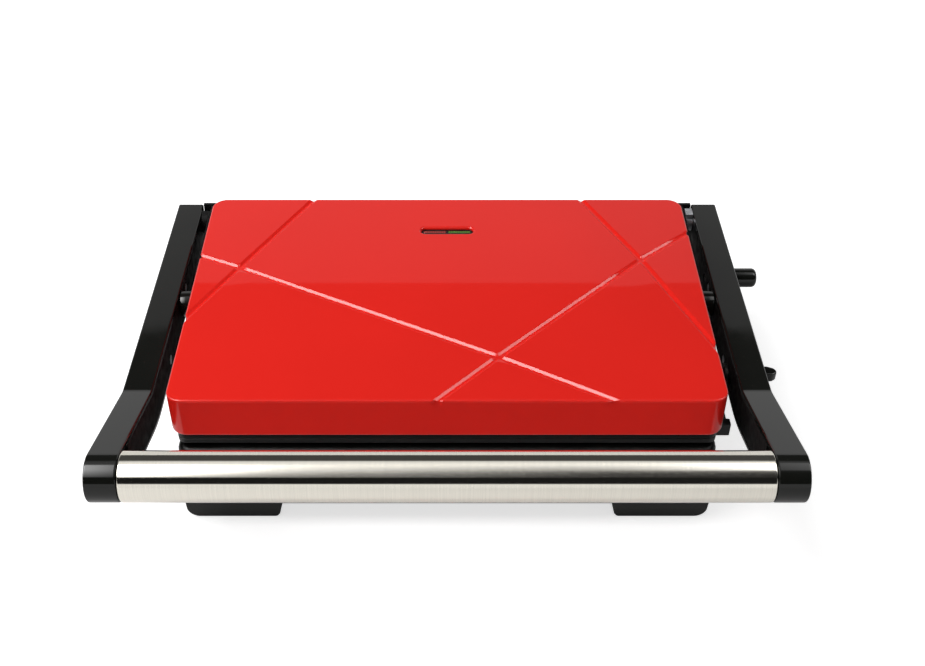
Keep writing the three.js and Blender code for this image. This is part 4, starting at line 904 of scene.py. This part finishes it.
def arm(side, sx):
    obj = extrude_side(f"arm_{side}_skin", arm_outline(), sx * ARM_IN, sx * ARM_OUT)
    sharpen(obj, 30)
    bevel_now(obj, ARM_EDGE, 3, 40)
    hollow_out(obj, sx)
    if sx > 0:
        slot_outline = [(-42.6, 53.1), (-28.4, 53.1), (-28.4, 58.3), (-42.6, 58.3)]
        slot_cut = extrude_side("slot", slot_outline, CUT_FROM, CUT_TO)
        hole = [(0.0001, CUT_FROM), (5.35, CUT_FROM), (5.35, CUT_TO), (0.0001, CUT_TO)]
        hole_cut = lathe("hole", hole, "x", (0, KNOB_Y, KNOB_Z), 48)
        for cutter in (slot_cut, hole_cut):
            sharpen(cutter, 40)
        cut(obj, [slot_cut, hole_cut])
    dress(obj, "arms", "black_gloss", (f"arm_{side}",), angle=28)


arm("left", -1)
arm("right", 1)


def handle_tube():
    """The bar's tube, with rolled ends."""
    end = 136.6
    roll = [(9.8, 3.0), (9.8, 0.4), (10.1, 0.0), (10.5, 0.0), (10.85, 0.18), (BAR_R, 0.6), (BAR_R, 8.0)]
    profile = [(r, x - end) for r, x in roll] + [(r, end - x) for r, x in reversed(roll)]
    obj = lathe("handle_tube_skin", profile, "x", (0, BAR_Y, BAR_Z), 128)
    dress(obj, "arms", "bar_steel", ("handle_tube",), angle=60)


handle_tube()

# ------------------------------------------------------------- feet

FOOT_Y, FOOT_HALF, FOOT_EDGE = 59.0, 15, 0.9


def foot_outline(sx):
    """A foot seen from the front: a small round on the inside, a large one on the outside."""
    out_x, in_x, top, low = 127.5, 78.8, 14.7, 0.6
    small, large = 2.1, 6.0
    points = [(in_x, top), (in_x + 3.0, low + 1.6)]
    points += arc(in_x + 5.4, low + small, small, math.pi * 1.07, math.pi * 1.5, 5)
    points += arc(out_x - 0.6 - large, low + large, large, -math.pi / 2, 0, 12)
    points += [(out_x, top)]
    return points if sx > 0 else [(-x, z) for x, z in reversed(points)]


def foot(end, sy, side, sx):
    middle = sy * FOOT_Y
    obj = extrude_front(f"foot_{end}_{side}_skin", foot_outline(sx), middle - FOOT_HALF, middle + FOOT_HALF)
    sharpen(obj, 30)
    bevel_now(obj, FOOT_EDGE, 3, 40)
    dress(obj, "base", "black_gloss", (f"foot_{end}_{side}",), angle=35)


for end, sy in (("front", -1), ("rear", 1)):
    for side, sx in (("left", -1), ("right", 1)):
        foot(end, sy, side, sx)

# ------------------------------------------------------------- knob, slide, pivots


def release_button():
    """Stem, flange and knob, with a thin neck groove and a rounded nose."""
    tip, nose, radius = 164.0, 2.4, 5.05
    profile = [(0.0, 137.2), (2.0, 137.2), (2.0, 145.9), (6.4, 145.9), (6.4, 147.9), (radius, 147.9)]
    profile += [(radius, 151.0), (4.7, 151.4), (4.7, 152.0), (radius, 152.4)]
    profile += arc(radius - nose, tip - nose, nose, 0, math.pi / 2, 8)
    profile += [(0.0, tip)]
    obj = lathe("release_button_skin", profile, "x", (0, KNOB_Y, KNOB_Z))
    dress(obj, "release", "black_gloss", ("release_button",), angle=50)


def lock_slide():
    stem_outline = [(-33.2, 53.5), (-28.8, 53.5), (-28.8, 57.9), (-33.2, 57.9)]
    stem = extrude_side("stem", stem_outline, 136.6, 151.4)
    outline = [(151.0, -34.25), (158.2, -34.25), (160.3, -32.8), (160.7, -31.0)]
    outline += [(159.6, -29.2), (156.4, -27.75), (151.0, -27.75)]
    thumb = extrude_plan("thumb", outline, 53.2, 58.2)
    sharpen(thumb, 30)
    bevel_now(thumb, 1.1, 4, 20)
    obj = joined("lock_slide_skin", [stem, thumb])
    dress(obj, "lock", "black_gloss", ("lock_slide",), angle=40)


def pivot(side, sx):
    """A pin with two collars, which carries the lid in an arm."""
    pin, collar, edge = 3.5, 6.65, 6.2
    profile = [(0.0, 119.2), (pin, 119.2), (pin, 126.5), (edge, 126.5), (collar, 126.95), (collar, 130.2)]
    profile += [(edge, 130.6), (edge, 131.2), (collar, 131.6), (collar, 136.1), (edge, 136.6)]
    profile += [(pin, 136.6), (pin, 147.0), (0.0, 147.0)]
    obj = lathe(f"pivot_pin_{side}_skin", [(r, sx * x) for r, x in profile], "x", (0, 17.0, 61.3))
    dress(obj, "lid", "black_gloss", (f"pivot_pin_{side}",), angle=50)


def release_spring():
    """Coil spring behind the knob's flange, made at one length; the real one shortens as the knob is pressed.
    """
    start, end, radius, wire, curls, steps, sides = 140.0, 144.8, 4.0, 0.4, 3, 28, 8
    last = curls * steps
    verts = []
    for i in range(last + 1):
        turn = 2 * math.pi * i / steps
        for k in range(sides):
            round_wire = 2 * math.pi * k / sides
            reach = radius + wire * math.cos(round_wire)
            x = start + (end - start) * i / last + wire * math.sin(round_wire)
            verts.append((x, KNOB_Y + reach * math.cos(turn), KNOB_Z + reach * math.sin(turn)))
    ends = [tuple(range(sides)), tuple(last * sides + k for k in range(sides))]
    obj = mesh_object("release_spring_coil", verts, ends + band_faces(last + 1, sides))
    dress(obj, "arms", "zinc_steel", ("release_spring",), angle=60)
    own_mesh(obj)


def cord_gland():
    """Sleeve with a snap groove for the wall and four thin ribs, narrower towards its end."""
    profile = [(3.4, 75.0), (8.0, 75.0), (8.0, 77.2), (5.7, 77.2), (5.7, 80.3)]
    profile += [(7.6, 80.3), (8.0, 80.7), (8.0, 82.1), (7.6, 82.5), (6.5, 82.7)]
    for i in range(4):
        y = 83.4 + 1.6 * i
        r = 6.4 - 0.33 * i
        profile += [(r, y), (r, y + 0.7), (r - 0.8, y + 0.85), (r - 0.8, y + 1.35)]
    profile += [(5.2, 89.3), (3.9, 89.5), (3.4, 89.3), (3.4, 75.0)]
    obj = lathe("cord_gland_skin", profile, "y", (80.0, 0, 28.0), 48)
    dress(obj, "base", "rubber", ("cord_gland",), angle=50)


release_button()
release_spring()
lock_slide()
pivot("left", -1)
pivot("right", 1)
cord_gland()

# ------------------------------------------------------------- signal window


def lens_outline(grow=0.0):
    """Half a strip with a round outer end, or the hole for it, larger by grow."""
    near, far, half = STRIP_NEAR - grow, STRIP_FAR + grow, STRIP_HALF + grow
    bow = arc(far - half, STRIP_Y, half, -math.pi / 2, math.pi / 2, ROUND_STEPS)
    return [(near, STRIP_Y - half)] + bow + [(near, STRIP_Y + half)]


def lamp_holder_rim():
    """Black upper face of the lamp holder, which fills the slot round the two lenses."""
    outline = stadium(SLOT_LENGTH - RIM_GAP, SLOT_HALF - RIM_GAP)
    plate = extrude_plan("lamp_holder_rim", outline, RIM_BOTTOM, RIM_TOP)
    holes = []
    for sx in (-1, 1):
        around = [(sx * x, y) for x, y in lens_outline(STRIP_GAP)]
        holes.append(extrude_plan("hole", around if sx > 0 else around[::-1], RIM_BOTTOM - 1.2, LID_TOP))
    cut(plate, holes)
    dress(plate, "lid", "black_plastic", angle=30)


def signal_lens(name, node, slot, sx):
    """A strip with one round end and a gently crowned top."""
    outline = lens_outline()
    middle, length = (STRIP_NEAR + STRIP_FAR) / 2, (STRIP_FAR - STRIP_NEAR) / 2
    levels = ((0.0, LENS_BOTTOM), (0.0, RIM_TOP - 0.12), (0.08, RIM_TOP - 0.03), (0.25, RIM_TOP + 0.02),
              (0.6, RIM_TOP + 0.05))
    verts = []
    for inset, z in levels:
        share_x, share_y = (length - inset) / length, (STRIP_HALF - inset) / STRIP_HALF
        for x, y in outline:
            verts.append((sx * (middle + (x - middle) * share_x), STRIP_Y + (y - STRIP_Y) * share_y, z))
    count = len(outline)
    faces = band_faces(len(levels), count)
    faces.append(tuple(range(count)))
    faces.append(tuple((len(levels) - 1) * count + i for i in range(count)))
    dress(mesh_object(name, verts, faces), "lid", slot, (node,), angle=50)


lamp_holder_rim()
signal_lens("power_lens_skin", "power_lens", "red_lens", -1)
signal_lens("ready_lens_skin", "ready_lens", "green_lens", 1)

# ------------------------------------------------------------- stage, light and camera

FLOOR_REACH, FLOOR_GREY = 6, 0.86
# The floor's own light: what a camera sees, and what reflections see near and far from the object,
# each with its distance in metres. Reflections see it darker near the object, as painted shade of the object
FLOOR_SHOWN = 0.66
FLOOR_NEAR, SHADED_LEVEL_NEAR, FLOOR_FAR, LEVEL_FAR = 0.4, 0.1, 1.6, 0.55


def plane(name, corners, material):
    """A four-cornered sheet of the studio, not part of the object."""
    mesh = bpy.data.meshes.new(name)
    mesh.from_pydata(corners, [], [(0, 1, 2, 3)])
    mesh.materials.append(material)
    obj = bpy.data.objects.new(name, mesh)
    bpy.context.scene.collection.objects.link(obj)
    return obj


def floor_material():
    material = bpy.data.materials.new("floor")
    s = Nodes(material)
    rays = s.node("ShaderNodeLightPath").outputs
    away = s.node("ShaderNodeVectorMath", operation="LENGTH")
    s.link(s.node("ShaderNodeNewGeometry").outputs["Position"], away.inputs[0])
    # Painted shade: reflections see the floor darker the nearer it lies to the object
    reflected_shaded = s.remap(away.outputs["Value"], FLOOR_NEAR, FLOOR_FAR, SHADED_LEVEL_NEAR, LEVEL_FAR)
    shown = s.math("MULTIPLY", rays["Is Camera Ray"], FLOOR_SHOWN)
    glow = s.emission(1)
    s.link(s.math("MULTIPLY_ADD", rays["Is Glossy Ray"], reflected_shaded, shown), glow.inputs["Strength"])
    diffuse = s.node("ShaderNodeBsdfDiffuse")
    diffuse.inputs["Color"].default_value = (FLOOR_GREY, FLOOR_GREY, FLOOR_GREY, 1)
    add = s.node("ShaderNodeAddShader")
    s.link(diffuse.outputs[0], add.inputs[0])
    s.link(glow.outputs[0], add.inputs[1])
    s.link(add.outputs[0], s.node("ShaderNodeOutputMaterial").inputs["Surface"])
    return material


def flag(name, left, right, low, high, level):
    """A dark sheet that only reflections show, between two edges given as (y, z) in metres."""
    material = bpy.data.materials.new(name)
    s = Nodes(material)
    s.link(s.emission(level).outputs[0], s.node("ShaderNodeOutputMaterial").inputs["Surface"])
    obj = plane(name, [(left, *low), (right, *low), (right, *high), (left, *high)], material)
    obj.visible_camera = False
    obj.visible_diffuse = False
    obj.visible_shadow = False
    obj.visible_transmission = False


near, far = -FLOOR_REACH, FLOOR_REACH
plane("floor", [(near, near, 0), (far, near, 0), (far, far, 0), (near, far, 0)], floor_material())
# One flag, painted shade, stands close in front of the base: reflections see its dark sheet in place of the
# floor that the bar and arms shade. The other stands high behind the grill
flag("painted_shade_front", -0.14, 0.128, (-0.084, 0.034), (-0.084, 0.066), 0.03)
flag("flag_rear", -1.5, 1.5, (0.243, 0.254), (0.166, 0.55), 0.06)

# What a gloss shows of the studio, by the angle from the rear horizon over the top to the front horizon
STUDIO = (
    (-180, 0.9), (0, 0.7), (23, 0.8), (34, 0.5), (44, 0.4), (50, 0.1), (60, 0.1), (66, 0.8), (84, 1.2),
    (97, 0.98), (112, 0.72), (126, 0.36), (137, 0.25), (140, 0.01), (166, 0.01), (169, 0.9), (180, 0.9),
)
# Level of the studio's light on the object, and of the white that a camera sees behind it
AMBIENT, BACKDROP = 0.32, 1.0

world = bpy.data.worlds.new("studio")
bpy.context.scene.world = world
sky = Nodes(world)
direction = sky.node("ShaderNodeSeparateXYZ")
sky.link(sky.node("ShaderNodeTexCoord").outputs["Generated"], direction.inputs[0])
turn = sky.math("ARCTAN2", direction.outputs["Z"], direction.outputs["Y"])


def by_angle(low, high, to_low, to_high):
    """Goes from one level to another between two angles over the object, in degrees as in STUDIO."""
    return sky.remap(turn, math.radians(low), math.radians(high), to_low, to_high)


def by_side(low, high, to_low, to_high):
    """The same between two places across, from -1 at the far left to 1 at the far right."""
    return sky.remap(direction.outputs["X"], low, high, to_low, to_high)


def product(first, *others):
    for other in others:
        first = sky.math("MULTIPLY", first, other)
    return first


ramp = sky.node("ShaderNodeValToRGB")
sky.link(by_angle(-180, 180, 0.0, 1.0), ramp.inputs["Fac"])
stops = ramp.color_ramp.elements
while len(stops) < len(STUDIO):
    stops.new(0.5)
for stop, (degrees, value) in zip(stops, STUDIO):
    stop.position = (degrees + 180) / 360
    stop.color = (value, value, value, 1)
# The panel overhead fades to the right
fade = product(by_angle(75, 120, 0.0, 0.9), by_angle(139, 141, 1.0, 0.0), by_side(-0.2, 0.12, 0.0, 1.0))
studio = product(ramp.outputs["Color"], sky.math("SUBTRACT", 1.0, fade))
# A strong softbox high at the left and a weaker one at the right, both dark towards the horizon
left_box = product(
    by_angle(80, 85, 0.0, 1.0), by_angle(104, 136, 1.0, 0.2), by_angle(136, 138, 1.0, 0.0),
    by_side(-0.36, -0.18, 15.0, 0.0), by_side(-0.82, -0.74, 0.0, 1.0),
)
right_box = product(
    by_angle(70, 74, 0.0, 1.0), by_angle(104, 110, 1.0, 0.0),
    by_side(0.2, 0.7, 0.8, 5.5), by_side(0.18, 0.24, 0.0, 1.0), by_side(0.74, 0.82, 1.0, 0.0),
)
studio = sky.math("ADD", studio, sky.math("ADD", left_box, right_box))
rays = sky.node("ShaderNodeLightPath").outputs
seen = sky.math("MAXIMUM", rays["Is Camera Ray"], rays["Is Transmission Ray"])
mix = sky.node("ShaderNodeMix")
sky.link(rays["Is Glossy Ray"], mix.inputs["Factor"])
sky.link(sky.remap(seen, 0.0, 1.0, AMBIENT, BACKDROP), mix.inputs["A"])
sky.link(studio, mix.inputs["B"])
background = sky.node("ShaderNodeBackground")
background.inputs["Color"].default_value = (1, 1, 1, 1)
sky.link(mix.outputs["Result"], background.inputs["Strength"])
sky.link(background.outputs[0], sky.node("ShaderNodeOutputWorld").inputs["Surface"])

# One soft light high at the left, aimed at the origin, which no reflection shows
light = bpy.data.lights.new("softbox", "AREA")
light.shape = "RECTANGLE"
light.size, light.size_y, light.energy = 1.0, 0.9, 11.8
softbox = bpy.data.objects.new("softbox", light)
softbox.location = (-0.62, -0.06, 1.06)
softbox.rotation_euler = (-softbox.location).to_track_quat("-Z", "Y").to_euler()
softbox.visible_glossy = False
bpy.context.scene.collection.objects.link(softbox)

# The photograph's camera: picture width, focal length and the column straight ahead in pixels, then
# the place and the tilt, which is counted from straight down
PHOTO_WIDTH, FOCAL_LENGTH, MIDDLE_COLUMN = 925.0, 1248.0, 447.1
CAMERA_Y, CAMERA_Z, CAMERA_TILT = -485.3, 463.0, 50.0

camera_data = bpy.data.cameras.new("camera")
camera_data.sensor_width = 36.0
camera_data.sensor_fit = "HORIZONTAL"
camera_data.lens = FOCAL_LENGTH / PHOTO_WIDTH * camera_data.sensor_width
camera_data.shift_x = (PHOTO_WIDTH / 2 - MIDDLE_COLUMN) / PHOTO_WIDTH
camera_data.clip_start = 0.01
camera = bpy.data.objects.new("camera", camera_data)
camera.location = to_scene(0, CAMERA_Y, CAMERA_Z)
camera.rotation_euler = (math.radians(CAMERA_TILT), 0.0, 0.0)
bpy.context.scene.collection.objects.link(camera)
bpy.context.scene.camera = camera

bpy.context.scene.view_settings.view_transform = "Standard"
